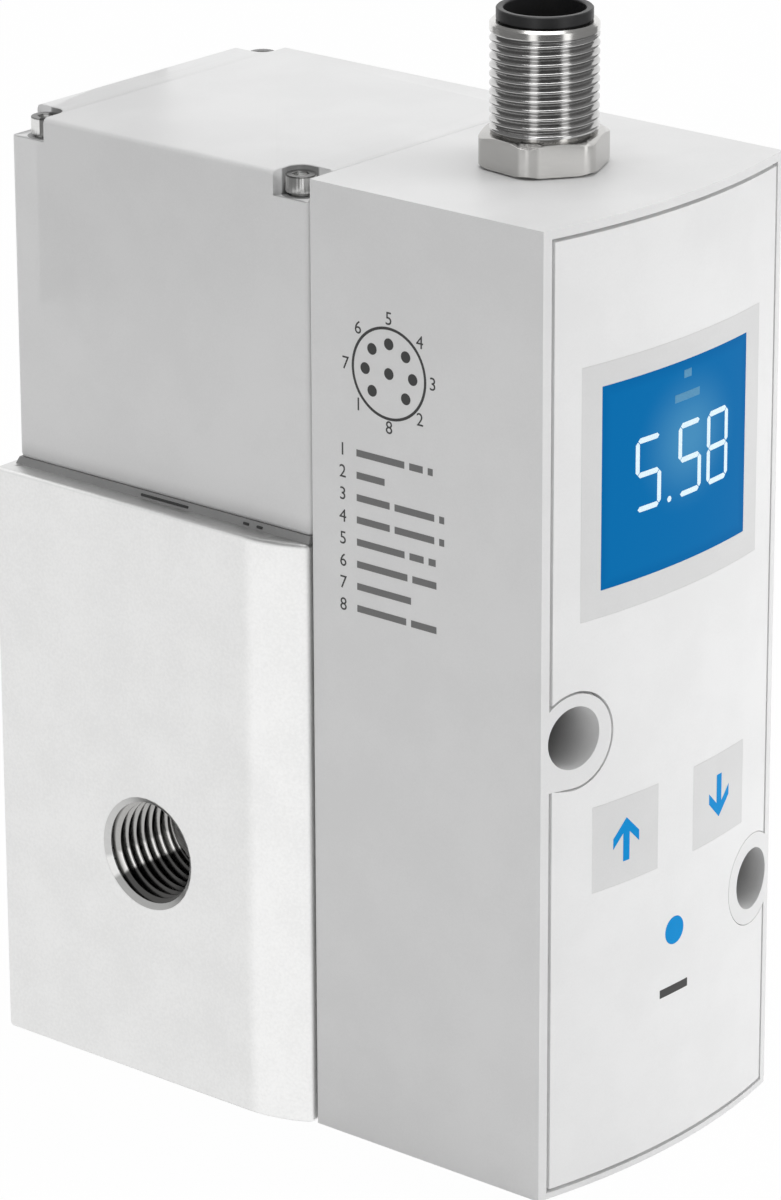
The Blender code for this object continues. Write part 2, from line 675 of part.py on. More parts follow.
def rear_space(name, low_z, high_z):
    """Two crossed blocks that fill the pilot housing between its four corner posts."""
    across_low = (WALL - HALF_WIDTH, REAR_Y + CORNER_POST, low_z)
    across_high = (HALF_WIDTH - WALL, REAR_END_Y - CORNER_POST, high_z)
    along_low = (CORNER_POST - HALF_WIDTH, REAR_Y + WALL, low_z)
    along_high = (HALF_WIDTH - CORNER_POST, REAR_END_Y - WALL, high_z)
    return box(name + "_across", across_low, across_high), box(name + "_along", along_low, along_high)


def rectangle(x, low, high):
    return [(-x, low), (x, low), (x, high), (-x, high)]


def rear_housing():
    housing = plate("rear_housing", rectangle(HALF_WIDTH, REAR_Y, REAR_END_Y), REAR_BOTTOM_Z, HEIGHT)
    rounded(housing, EDGE_ROUND)
    cut(housing, *rear_space("pilot_space", REAR_BOTTOM_Z - OVERCUT, HEIGHT - WALL))
    hole = (0, REAR_Y - OVERCUT, WIRE_HOLE_Z)
    cut(housing, rod("pilot_wire_hole", WIRE_HOLE_RADIUS, hole, WALL + 2 * OVERCUT, "Y", sides=24))
    for i, (x, y) in enumerate(corner_places()):
        label = "%d" % (i + 1)
        cut(housing, corner_notch("notch_" + label, x, y))
        bore = CORNER_SHANK_RADIUS + THIN_GAP
        start = (x, y, REAR_BOTTOM_Z - OVERCUT)
        cut(housing, rod("post_bore_" + label, bore, start, HEIGHT - REAR_BOTTOM_Z, sides=12))
    return dress(housing, "painted_light_grey")


def corner_notch(name, x, y):
    """An open corner pocket, straight out to both faces beside it and round behind the screw."""
    side = math.copysign(1, x)
    end = math.copysign(1, y - VALVE_Y)
    far_x = side * (HALF_WIDTH + OVERCUT)
    far_y = (REAR_END_Y if end > 0 else REAR_Y) + end * OVERCUT
    outline = [(x - side * NOTCH_RADIUS, far_y), (far_x, far_y), (far_x, y - end * NOTCH_RADIUS)]
    for i in range(ARC_STEPS + 1):
        angle = 0.5 * math.pi * i / ARC_STEPS
        across = x - side * NOTCH_RADIUS * math.sin(angle)
        outline.append((across, y - end * NOTCH_RADIUS * math.cos(angle)))
    return plate(name, outline, NOTCH_FLOOR_Z, HEIGHT + OVERCUT)


def rear_gasket():
    low = BLOCK_HEIGHT + THIN_GAP
    outline = rectangle(HALF_WIDTH - GAP, REAR_Y + GAP, REAR_END_Y - GAP)
    gasket = plate("rear_gasket", outline, low, low + GASKET)
    cut(gasket, *rear_space("gasket_window", low - OVERCUT, low + GASKET + OVERCUT))
    for i, (x, y) in enumerate(corner_places()):
        radius = CORNER_SHANK_RADIUS + THIN_GAP
        hole = rod("gasket_hole_%d" % (i + 1), radius, (x, y, low - OVERCUT), 2 * OVERCUT + GASKET, sides=12)
        cut(gasket, hole)
    dress(gasket, "black_rubber")


def corner_screws():
    seat = NOTCH_FLOOR_Z + GAP
    length = seat - (BLOCK_HEIGHT - CORNER_GRIP + GAP)
    for i, (x, y) in enumerate(corner_places()):
        cap_screw(
            "rear_screw_%d" % (i + 1), CORNER_HEAD_RADIUS, CORNER_HEAD_HEIGHT, CORNER_SHANK_RADIUS, length,
            (x, y, seat), "Z", 1,
        )


def pilot_parts():
    """Manifold, two solenoid valves with their plungers, pressure sensor and pilot board."""
    half = HALF_WIDTH - CORNER_POST - GAP
    low = (-half, REAR_Y + WALL + GAP, MANIFOLD_BOTTOM_Z)
    high = (half, REAR_END_Y - WALL - GAP, MANIFOLD_TOP_Z)
    manifold = box("pilot_manifold", low, high)
    drop = (0, VALVE_Y, MANIFOLD_BOTTOM_Z - OVERCUT)
    cut(manifold, rod("control_passage", SIGNAL_RADIUS, drop, MANIFOLD_HEIGHT + 2 * OVERCUT, sides=12))
    dress(manifold, "turned_aluminium")

    pilot_y = VALVE_Y - PILOT_LENGTH / 2 - SIGNAL_RADIUS - GAP
    bore_floor = PILOT_BOTTOM_Z + PILOT_FLOOR
    pilot_top = PILOT_BOTTOM_Z + PILOT_HEIGHT
    pole_bottom = bore_floor + GAP + PLUNGER_LENGTH + PLUNGER_TRAVEL + GAP
    for number, side in ((1, -1), (2, 1)):
        x = side * PILOT_SPACING / 2
        low = (x - PILOT_WIDTH / 2, pilot_y - PILOT_LENGTH / 2, PILOT_BOTTOM_Z)
        high = (x + PILOT_WIDTH / 2, pilot_y + PILOT_LENGTH / 2, pilot_top)
        valve = rounded(box("pilot_valve_%d" % number, low, high), BLOCK_EDGE)
        bore = PLUNGER_RADIUS + THIN_GAP
        cut(valve, rod("plunger_bore_%d" % number, bore, (x, pilot_y, bore_floor), PILOT_HEIGHT, sides=20))
        dress(valve, "black_plastic")
        seat = (x, pilot_y, bore_floor + GAP)
        plunger = rod("pilot_plunger_%d" % number, PLUNGER_RADIUS, seat, PLUNGER_LENGTH, sides=20)
        put_origin(plunger, seat)
        dress(plunger, "steel")
        head_top = pilot_top + GAP + POLE_HEAD
        profile = [
            (0.0, head_top), (2 * PLUNGER_RADIUS, head_top), (2 * PLUNGER_RADIUS, pilot_top + GAP),
            (PLUNGER_RADIUS, pilot_top + GAP), (PLUNGER_RADIUS, pole_bottom), (0.0, pole_bottom),
        ]
        dress(turned("pilot_pole_%d" % number, profile, (x, pilot_y, 0), steps=20), "steel")

    sensor_y = VALVE_Y + SENSOR_RADIUS + 2 * SIGNAL_RADIUS
    nozzle = SENSOR_RADIUS / 2
    bottom = PILOT_BOTTOM_Z
    profile = [
        (0.0, bottom + SENSOR_HEIGHT), (nozzle, bottom + SENSOR_HEIGHT), (nozzle, bottom + SENSOR_HEIGHT / 2),
        (SENSOR_RADIUS, bottom + SENSOR_HEIGHT / 2), (SENSOR_RADIUS, bottom), (0.0, bottom),
    ]
    dress(turned("pressure_sensor", profile, (0, sensor_y, 0), steps=20), "steel")

    board_bottom = pilot_top + GAP + POLE_HEAD + GAP
    low = (-half, REAR_Y + WALL + GAP, board_bottom)
    high = (half, REAR_END_Y - WALL - GAP, board_bottom + BOARD)
    dress(box("pilot_board", low, high), "board_green")


def front_housing():
    housing = plate("front_housing", face_outline(SEAM_Y), 0.0, HEIGHT)
    rounded(housing, EDGE_ROUND)
    steps = (
        ("panel_seat", RIM_SIDE, RIM_TOP, RIM_BOTTOM, PANEL_BACK_Y + FIT),
        ("display_space", WALL, WALL, WALL, DISPLAY_BOARD_FRONT + BOARD + FIT),
        ("main_space", WALL + LEDGE, WALL, WALL, MAIN_BOARD_FRONT + BOARD + FIT),
        ("back_space", WALL + 2 * LEDGE, WALL, WALL + LEDGE, CAVITY_BACK_Y),
    )
    for level, (name, side, top, bottom, back) in enumerate(steps):
        outline = notched_outline(side, top, bottom, BOSS_RADIUS + level * BOSS_STEP)
        cut(housing, plate(name, outline, FACE_FRONT_Y, back, "XZ"))
    for label, side, z in WELLS:
        mouth = (side * WELL_X, FACE_FRONT_Y, z)
        cut(housing, rod(label + "_well", WELL_RADIUS, mouth, WELL_FLOOR_Y - FACE_FRONT_Y, "Y"))
        through = SEAM_Y + OVERCUT - FACE_FRONT_Y
        cut(housing, rod(label + "_well_hole", FACE_SHANK_RADIUS + THIN_GAP, mouth, through, "Y", sides=20))
    hole = (0, CAVITY_BACK_Y - OVERCUT, WIRE_HOLE_Z)
    cut(housing, rod("front_wire_hole", WIRE_HOLE_RADIUS, hole, BACK_WALL + 2 * OVERCUT, "Y", sides=24))
    hole = (0, CONNECTOR_AXIS_Y, HEIGHT - WALL - OVERCUT)
    radius = SHANK_RADIUS + THIN_GAP
    cut(housing, rod("connector_hole", radius, hole, WALL + 2 * OVERCUT, sides=24))
    dress(housing, "painted_light_grey")


def face_screws():
    seat = WELL_FLOOR_Y - GAP
    length = REAR_Y + FACE_GRIP - GAP - seat
    for number, (_, side, z) in enumerate(WELLS, start=1):
        cap_screw(
            "front_screw_%d" % number, FACE_HEAD_RADIUS, FACE_HEAD_HEIGHT, FACE_SHANK_RADIUS, length,
            (side * WELL_X, seat, z), "Y", -1,
        )


def front_panel():
    outline = notched_outline(RIM_SIDE + GAP, RIM_TOP + GAP, RIM_BOTTOM + GAP, BOSS_RADIUS + GAP)
    panel = plate("front_panel", outline, FACE_FRONT_Y, PANEL_BACK_Y, "XZ")
    on_face(panel, PANEL_BACK_Y + OVERCUT)
    past_back = PANEL_BACK_Y + OVERCUT
    window_width = FRAME_WIDTH + 2 * FIT
    window_height = FRAME_HEIGHT + 2 * FIT
    cut(panel, face_box("display_window", 0, FRAME_Z, window_width, window_height, past_back))
    key_size = (KEY_WIDTH + 2 * FIT, KEY_HEIGHT + 2 * FIT)
    for label, side in (("up_window", -1), ("down_window", 1)):
        cut(panel, face_box(label, side * KEY_X, KEY_Z, *key_size, past_back))
    mouth = (0, FACE_FRONT_Y, DOT_Z)
    cut(panel, rod("dot_window", DOT_RADIUS + FIT, mouth, past_back - FACE_FRONT_Y, "Y", sides=24))
    dress(panel, "panel_white")


def display_parts():
    """The flush frame and screen, the display module and the board behind them."""
    frame = face_box("display_frame", 0, FRAME_Z, FRAME_WIDTH, FRAME_HEIGHT, PANEL_BACK_Y)
    on_face(frame, PANEL_BACK_Y + OVERCUT)
    opening = (SCREEN_WIDTH + 2 * FIT, SCREEN_HEIGHT + 2 * FIT)
    cut(frame, face_box("screen_window", 0, SCREEN_Z, *opening, PANEL_BACK_Y + OVERCUT))
    dress(frame, "key_grey")

    flange_front = PANEL_BACK_Y + FIT
    flange_back = flange_front + LENS_FLANGE
    screen = face_box("display_screen", 0, SCREEN_Z, SCREEN_WIDTH, SCREEN_HEIGHT, flange_back)
    half = FRAME_WIDTH / 2 + LENS_FLANGE
    low = (-half, flange_front, FRAME_Z - FRAME_HEIGHT / 2 - LENS_FLANGE)
    high = (half, flange_back, FRAME_Z + FRAME_HEIGHT / 2 + LENS_FLANGE)
    join(screen, box("screen_flange", low, high))
    on_face(screen, flange_back + OVERCUT)
    dress(screen, "screen_blue")

    low = (-FRAME_WIDTH / 2, flange_back + FIT, FRAME_Z - FRAME_HEIGHT / 2)
    high = (FRAME_WIDTH / 2, DISPLAY_BOARD_FRONT - GAP, FRAME_Z + FRAME_HEIGHT / 2)
    dress(box("display_module", low, high), "black_plastic")

    outline = notched_outline(WALL + GAP, WALL + GAP, WALL + GAP, BOSS_RADIUS + BOSS_STEP + GAP)
    board = plate("display_board", outline, DISPLAY_BOARD_FRONT, DISPLAY_BOARD_FRONT + BOARD, "XZ")
    dress(board, "board_green")


def key(name, cap, x, z, half_width, half_height, finish):
    """A flush key with a lip behind the panel and a stem that ends just above its switch."""
    lip_front = PANEL_BACK_Y + FIT
    lip_back = lip_front + KEY_FLANGE
    switch_front = DISPLAY_BOARD_FRONT - GAP - SWITCH_DEPTH
    low = (x - half_width - KEY_LIP, lip_front, z - half_height - KEY_LIP)
    high = (x + half_width + KEY_LIP, lip_back, z + half_height + KEY_LIP)
    join(cap, box(name + "_lip", low, high))
    stem_start = (x, lip_front + KEY_FLANGE / 2, z)
    stem_length = switch_front - KEY_TRAVEL - GAP - stem_start[1]
    join(cap, rod(name + "_stem", KEY_STEM_RADIUS, stem_start, stem_length, "Y", sides=16))
    on_face(cap, DISPLAY_BOARD_FRONT)
    put_origin(cap, (x, FACE_Y, z))
    dress(cap, finish)
    low = (x - SWITCH_SIZE / 2, switch_front, z - SWITCH_SIZE / 2)
    high = (x + SWITCH_SIZE / 2, DISPLAY_BOARD_FRONT - GAP, z + SWITCH_SIZE / 2)
    dress(box(name + "_switch", low, high), "black_plastic")


def keys():
    lip_middle = PANEL_BACK_Y + FIT + KEY_FLANGE / 2
    for name, side in (("up_key", -1), ("down_key", 1)):
        cap = face_box(name, side * KEY_X, KEY_Z, KEY_WIDTH, KEY_HEIGHT, lip_middle)
        key(name, cap, side * KEY_X, KEY_Z, KEY_WIDTH / 2, KEY_HEIGHT / 2, "key_grey")
    start = (0, FACE_FRONT_Y, DOT_Z)
    cap = rod("edit_key", DOT_RADIUS, start, lip_middle - FACE_FRONT_Y, "Y", sides=24)
    key("edit_key", cap, 0, DOT_Z, DOT_RADIUS, DOT_RADIUS, "dot_blue")


def main_board_parts():
    boss = BOSS_RADIUS + 2 * BOSS_STEP + GAP
    outline = notched_outline(WALL + LEDGE + GAP, WALL + GAP, WALL + GAP, boss)
    board = plate("main_board", outline, MAIN_BOARD_FRONT, MAIN_BOARD_FRONT + BOARD, "XZ")
    dress(board, "board_green")
    front = MAIN_BOARD_FRONT - GAP
    half = CHIP_SIZE / 2
    low = (-half, front - CHIP_DEPTH, CHIP_Z - half)
    high = (half, front, CHIP_Z + half)
    dress(box("processor", low, high), "black_plastic")
    for number, side in ((1, -1), (2, 1)):
        start = (side * (CAPACITOR_RADIUS + GAP), front - CAPACITOR_LENGTH, CAPACITOR_Z)
        can = rod("capacitor_%d" % number, CAPACITOR_RADIUS, start, CAPACITOR_LENGTH, "Y", sides=20)
        dress(can, "turned_aluminium")


def connector():
    """Hexagon flange and threaded barrel in one, its seal and nut, and the black pin carrier."""
    place = (0, CONNECTOR_AXIS_Y, 0)
    turn = math.radians(HEX_TURN)
    undercut = CONNECTOR_RADIUS - UNDERCUT
    hex_middle = (HEX_BOTTOM_Z + HEX_TOP_Z) / 2
    shell = prism("connector_shell", HEX_FLATS, (0, CONNECTOR_AXIS_Y, HEX_BOTTOM_Z), HEX_HEIGHT, turn)
    rounded(shell, HEX_EDGE, segments=1)
    profile = [
        (0.0, BARREL_TOP_Z), (CONNECTOR_RADIUS - BARREL_CHAMFER, BARREL_TOP_Z),
        (CONNECTOR_RADIUS, BARREL_TOP_Z - BARREL_CHAMFER), (CONNECTOR_RADIUS, HEX_TOP_Z + UNDERCUT_HEIGHT),
        (undercut, HEX_TOP_Z + UNDERCUT_HEIGHT), (undercut, hex_middle), (SHANK_RADIUS, hex_middle),
        (SHANK_RADIUS, SHANK_BOTTOM_Z), (0.0, SHANK_BOTTOM_Z),
    ]
    recess = (0, CONNECTOR_AXIS_Y, HEX_BOTTOM_Z - OVERCUT)
    cut(shell, rod("seal_recess", SEAL_RADIUS, recess, SEAL_RECESS + OVERCUT))
    join(shell, turned("connector_barrel", profile, place))
    bore_start = (0, CONNECTOR_AXIS_Y, SHANK_BOTTOM_Z - OVERCUT)
    bore_length = BARREL_TOP_Z - SHANK_BOTTOM_Z + 2 * OVERCUT
    cut(shell, rod("connector_bore", SHELL_BORE_RADIUS, bore_start, bore_length))
    dress(shell, "nickel")

    seal_top = HEX_BOTTOM_Z + SEAL_RECESS - THIN_GAP
    seal_bottom = HEIGHT + THIN_GAP
    outer = SEAL_RADIUS - THIN_GAP
    inner = SHANK_RADIUS + THIN_GAP
    profile = [(outer, seal_top), (outer, seal_bottom), (inner, seal_bottom), (inner, seal_top)]
    dress(turned("connector_seal", profile, place, steps=24, closed=True), "black_rubber")

    nut_bottom = HEIGHT - WALL - GAP - NUT_HEIGHT
    nut = prism("connector_nut", NUT_FLATS, (0, CONNECTOR_AXIS_Y, nut_bottom), NUT_HEIGHT)
    hole = (0, CONNECTOR_AXIS_Y, nut_bottom - OVERCUT)
    cut(nut, rod("nut_bore", SHANK_RADIUS + THIN_GAP, hole, NUT_HEIGHT + 2 * OVERCUT, sides=24))
    dress(nut, "nickel")

    body = SHELL_BORE_RADIUS - THIN_GAP
    profile = [
        (0.0, SOCKET_FLOOR_Z), (SOCKET_RADIUS, SOCKET_FLOOR_Z), (SOCKET_RADIUS, COLLAR_TOP_Z),
        (COLLAR_RADIUS, COLLAR_TOP_Z), (COLLAR_RADIUS, COLLAR_BOTTOM_Z), (body, COLLAR_BOTTOM_Z),
        (body, SHANK_BOTTOM_Z), (0.0, SHANK_BOTTOM_Z),
    ]
    insert = turned("connector_insert", profile, place)
    pin_bottom = SHANK_BOTTOM_Z - PIN_TAIL
    pin_top = SOCKET_FLOOR_Z + PIN_REACH
    places = [(0.0, CONNECTOR_AXIS_Y)]
    for i in range(1, RING_PLACES):
        angle = turn + FULL_TURN * i / RING_PLACES
        places.append((PIN_CIRCLE * math.cos(angle), CONNECTOR_AXIS_Y + PIN_CIRCLE * math.sin(angle)))
    for number, (x, y) in enumerate(places, start=1):
        hole_start = (x, y, SHANK_BOTTOM_Z - OVERCUT)
        hole_length = SOCKET_FLOOR_Z - SHANK_BOTTOM_Z + 2 * OVERCUT
        radius = PIN_RADIUS + THIN_GAP
        cut(insert, rod("pin_hole_%d" % number, radius, hole_start, hole_length, sides=10))
        tip = PIN_TIP * PIN_RADIUS
        profile = [
            (0.0, pin_top), (tip, pin_top), (PIN_RADIUS, pin_top - tip), (PIN_RADIUS, pin_bottom),
            (0.0, pin_bottom),
        ]
        dress(turned("connector_pin_%d" % number, profile, (x, y, 0), steps=10), "gold_pin")
    dress(insert, "black_plastic")


def main():
    clear_scene()
    new_collection(PARTS_NAME)
    new_collection(CUTTERS_NAME)
    for name in FINISHES:
        new_material(name)
    valve_body()
    bottom_plug()
    valve_train()
    rear_gasket()
    rear_housing()
    corner_screws()
    pilot_parts()
    front_housing()
    face_screws()
    front_panel()
    display_parts()
    keys()
    main_board_parts()
    connector()


main()
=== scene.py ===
"""Looks of the electro-pneumatic regulator: its finishes, threads, screws, flush face and print."""
import json
import math

import bmesh
import bpy
from mathutils import Matrix, Vector

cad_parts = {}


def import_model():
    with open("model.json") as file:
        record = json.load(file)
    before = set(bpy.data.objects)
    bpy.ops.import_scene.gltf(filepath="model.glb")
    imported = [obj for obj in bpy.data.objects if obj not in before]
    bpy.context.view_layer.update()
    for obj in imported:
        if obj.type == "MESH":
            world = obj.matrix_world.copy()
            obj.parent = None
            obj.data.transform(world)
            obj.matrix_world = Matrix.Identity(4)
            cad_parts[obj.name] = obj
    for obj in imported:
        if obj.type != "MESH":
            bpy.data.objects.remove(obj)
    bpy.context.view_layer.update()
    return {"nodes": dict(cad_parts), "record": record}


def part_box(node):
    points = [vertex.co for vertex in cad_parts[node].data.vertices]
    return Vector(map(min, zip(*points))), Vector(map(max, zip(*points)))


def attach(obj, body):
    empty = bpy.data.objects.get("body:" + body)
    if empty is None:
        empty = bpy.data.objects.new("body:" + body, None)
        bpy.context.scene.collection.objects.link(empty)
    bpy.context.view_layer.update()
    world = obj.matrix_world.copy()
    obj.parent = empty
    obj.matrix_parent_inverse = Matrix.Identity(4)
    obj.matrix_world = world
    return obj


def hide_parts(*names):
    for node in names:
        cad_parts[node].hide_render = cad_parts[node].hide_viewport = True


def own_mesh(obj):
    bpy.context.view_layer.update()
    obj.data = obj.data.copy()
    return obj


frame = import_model()

MM = 0.001
FULL_TURN = 2 * math.pi

# Camera, fitted to the object's edges in the photograph
LENS = 172.55                   # on a sensor 36 mm along its long side
AZIMUTH = -49.709               # degrees, 0 looks straight at the display
ELEVATION = 19.828
ROLL = -0.223
DISTANCE = 630.33 * MM
AIM_ACROSS = -29.60 * MM        # picture's middle from the face's middle, across the view
AIM_HEIGHT = 65.26 * MM

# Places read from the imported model
HOUSING_LOW, HOUSING_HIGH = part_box("front_housing")
BLOCK_LOW, BLOCK_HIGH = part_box("valve_body")
SHELL_LOW, SHELL_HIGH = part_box("connector_shell")
HALF_WIDTH = HOUSING_HIGH.x
TOP_Z = HOUSING_HIGH.z
VALVE_Y = (BLOCK_LOW.y + BLOCK_HIGH.y) / 2
CONNECTOR_Y = (SHELL_LOW.y + SHELL_HIGH.y) / 2
HEX_LOW = TOP_Z + 0.2 * MM      # underside of the connector's hexagon

# Display face
BULGE = 2.55 * MM
FACE_EDGE_Y = HOUSING_LOW.y + BULGE
FACE_RADIUS = (HALF_WIDTH ** 2 + BULGE ** 2) / (2 * BULGE)
FACE_STEPS = 48
PANEL_BACK_Y = FACE_EDGE_Y + 1.8 * MM
RIM_SIDE = 1.1 * MM             # housing's edge beside, above and below the panel
RIM_TOP = 1.0 * MM
RIM_BOTTOM = 0.7 * MM
SEAM = 0.42 * MM                # between the panel and the housing
SEAM_DEPTH = 1.0 * MM
BOSS_RADIUS = 5.4 * MM
LEFT_BOSS_SEAM = 0.30 * MM
RIGHT_BOSS_SEAM = 0.08 * MM
LEFT_BOSS_DROP = 0.4 * MM       # how far the left boss sits below its well
LEFT_BOSS_TAIL = 5.6 * MM       # where its lower seam meets the panel's edge, below the well
WELL_RADIUS = 3.6 * MM
WELL_FLOOR_Y = FACE_EDGE_Y + 27.3 * MM
SCREW_HOLE_RADIUS = 2.15 * MM   # at the bottom of each well
WIRE_HOLE_RADIUS = 5.0 * MM     # in the back wall
WIRE_HOLE_Z = 93.0 * MM
WALL = 2.2 * MM
BACK_WALL = 3.0 * MM
LEDGE = 1.4 * MM
BOSS_STEP = 0.3 * MM
BOARD_BACKS = (8.0 * MM, 27.3 * MM)  # behind the boards, from the face's side edges
EDGE_ROUND = 0.6 * MM
NOTCH_FLOOR = 108.9 * MM        # floor of the pilot housing's corner pockets
FRAME_WIDTH = 31.2 * MM
FRAME_HEIGHT = 28.7 * MM
SCREEN_WIDTH = 25.4 * MM
SCREEN_HEIGHT = 23.0 * MM
SCREEN_Z = 81.6 * MM
KEY_WIDTH = 10.4 * MM
KEY_HEIGHT = 10.1 * MM
DOT_RADIUS = 1.65 * MM
FILM_GAP = 0.02 * MM            # between the flush fields of the face
PRINT_LIFT = 0.02 * MM          # print above the face that it lies on

# Display's figures: left edges, size and stroke
DIGITS = (("5", -7.6 * MM), ("5", -0.5 * MM), ("8", 4.75 * MM))
DIGIT_WIDTH = 4.15 * MM
DIGIT_BOTTOM = 77.6 * MM
DIGIT_HEIGHT = 8.4 * MM
STROKE = 0.62 * MM
POINT_X = -2.0 * MM
MARK_X = 1.0 * MM
SCREEN_MARKS = (
    (MARK_X, 91.5 * MM, 1.3 * MM, 0.9 * MM), (MARK_X, 89.0 * MM, 4.4 * MM, 0.9 * MM),
)                               # middle in X and Z, width and height
KEY_MARK = (0.0, 19.5 * MM, 5.0 * MM, 1.0 * MM)  # under the round key

# Threads
PORT_Z = 28.0 * MM
PORT_RADIUS = 6.6 * MM
PORT_PITCH = 1.337 * MM
PORT_THREAD = 0.86 * MM         # depth of the pipe thread
PORT_DEPTH = 12.0 * MM
EXHAUST_Z = 7.5 * MM
EXHAUST_RADIUS = 4.6 * MM
EXHAUST_PITCH = 0.907 * MM
EXHAUST_THREAD = 0.58 * MM
EXHAUST_DEPTH = 9.0 * MM
THREAD_START = 0.3 * MM         # inside each port's mouth
THREAD_SHORT = 0.8 * MM         # by how much a thread is shorter than its port
SLEEVE_WALL = 0.12 * MM         # of the threaded sleeves, sunk in the block
PLUG_PITCH = 1.0 * MM           # connector's metric thread
PLUG_THREAD = 0.45 * MM

# Connector
HEX_FLATS = 13.2 * MM
HEX_HEIGHT = 3.65 * MM
HEX_TURN = 23.0                 # degrees
HEX_CHAMFER = 0.55 * MM
HEX_CORNER = 2.0 * MM           # radius of the rounded corners
HEX_CORNER_STEPS = 12
BARREL_RADIUS = 6.0 * MM
BORE_RADIUS = 5.0 * MM
SHANK_RADIUS = 5.2 * MM
UNDERCUT_RADIUS = 5.3 * MM
UNDERCUT_HEIGHT = 0.4 * MM
COLLAR = 1.0 * MM               # plain ring above the thread
FLANGE_EDGES = (-24.0, -15.0, -7.0, 41.0)  # degrees round the hexagon from the camera's side, where the painted reflection changes tone
FLANGE_PAINTED_DARKNESS = (0.36, 0.12, 0.26, 0.0, 0.27)  # how much darker each face is painted, standing for its reflection
CARRIER_RADIUS = 5.3 * MM       # black pin carrier, its rim above the barrel
CARRIER_RIM = 1.2 * MM
CARRIER_BODY = 4.85 * MM
SOCKET_RADIUS = 4.45 * MM
SOCKET_DEPTH = 11.0 * MM

# Short dark strips along the joint, from one place in Y to another
BEADS = ((12.7 * MM, 19.9 * MM), (3.6 * MM, 4.5 * MM), (1.6 * MM, 2.5 * MM))

# Pin diagram on the side of the display housing; Y places are from the face's edge
DIAGRAM_Y = 21.24 * MM
DIAGRAM_Z = 91.9 * MM
DIAGRAM_RADIUS = 5.1 * MM
DIAGRAM_LINE = 0.32 * MM
PIN_RING = 3.35 * MM
PIN_DOT = 0.66 * MM
PIN_PLACES = 8
RING_NUMBERS = (8, 2, 3, 4, 5, 6, 7, 1)  # beside the places, from the lowest one round
NUMBER_RING = 6.15 * MM
NUMBER_SIZE = 2.1 * MM
LIST_TOP = 82.0 * MM
LIST_PITCH = 2.57 * MM
LIST_NUMBER_Y = 27.9 * MM
LIST_BAR_Y = 25.9 * MM
LIST_BARS = (
    (6.8, 1.9, 0.7), (4.0,), (4.7, 5.6, 0.7), (4.7, 5.6, 0.7),
    (6.8, 2.0, 1.0), (7.2, 3.4), (7.7,), (7.0, 3.6),
)                               # lengths in millimetres of the bars beside each number
BAR_GAP = 0.7 * MM
BAR_HEIGHT = 0.8 * MM
SIDE_LIFT = 0.015 * MM          # of the side's print above its surface
SIDE_DEPTH = 0.1 * MM           # and below it

WELD = 0.000001                 # distance under which points are merged
SHARP_ANGLE = 32.0              # degrees; steeper edges stay sharp

# Stage
SKY_LEVEL = 0.50
LAMPS = (
    ("overhead", (0.05, 0.10, 1.10), (0.0, 0.0, 0.06), 0.9, 4.7, True),
    ("front_right", (0.75, -0.95, 0.42), (0.0, 0.0, 0.06), 0.7, 5.9, False),
)                               # name, place, aim, width, power, and whether shiny faces mirror it
FLOOR_RADIUS = 6.0
FLOOR_WHITE = 0.97              # share of plain white where the floor is looked at
WALL_RADIUS = 60.0 * MM         # of the backdrop round the connector's axis
WALL_LOW = 90.0 * MM
WALL_HIGH = 250.0 * MM
WALL_OPEN = 135.0               # degrees to either side of the camera; the back is open
WALL_STEPS = 48
SLIT_EDGES = (-32.3, -16.5, 36.0, 52.0)  # degrees from the camera's side, from left to right
SLIT_LEVEL = 1.4
WALL_TONES = (0.14, 0.95, 0.10, 1.0, 0.17)  # of the level: left, slit, middle, slit, right


class Wire:
    """A socket of a node tree. Arithmetic on it adds Math nodes to the tree."""

    def __init__(self, tree, socket):
        self.tree = tree
        self.socket = socket

    def math(self, operation, *others):
        values = dict(enumerate((self,) + others))
        return self.tree.node("ShaderNodeMath", {"operation": operation}, values)

    def __add__(self, other):
        return self.math("ADD", other)

    def __sub__(self, other):
        return self.math("SUBTRACT", other)

    def __mul__(self, other):
        return self.math("MULTIPLY", other)

    def __truediv__(self, other):
        return self.math("DIVIDE", other)

    def __radd__(self, other):
        return self.math("ADD", other)

    def __rmul__(self, other):
        return self.math("MULTIPLY", other)

    def __rsub__(self, other):
        return self.tree.node("ShaderNodeMath", {"operation": "SUBTRACT"}, {0: other, 1: self})

    def __neg__(self):
        return self.math("MULTIPLY", -1.0)


class Tree:
    """A node tree and the one call that adds nodes to it."""

    def __init__(self, tree):
        self.tree = tree

    def node(self, kind, settings=None, sockets=None, output=0):
        node = self.tree.nodes.new(kind)
        for name, value in (settings or {}).items():
            setattr(node, name, value)
        for key, value in (sockets or {}).items():
            for entry in value if isinstance(value, list) else [value]:
                if isinstance(entry, Wire):
                    self.tree.links.new(entry.socket, node.inputs[key])
                else:
                    node.inputs[key].default_value = entry
        return Wire(self, node.outputs[output]) if node.outputs else node

    def outputs(self, kind, sockets=None):
        """A new node's outputs by their names."""
        made = self.node(kind, None, sockets).socket.node
        return {socket.name: Wire(self, socket) for socket in made.outputs if socket.name}


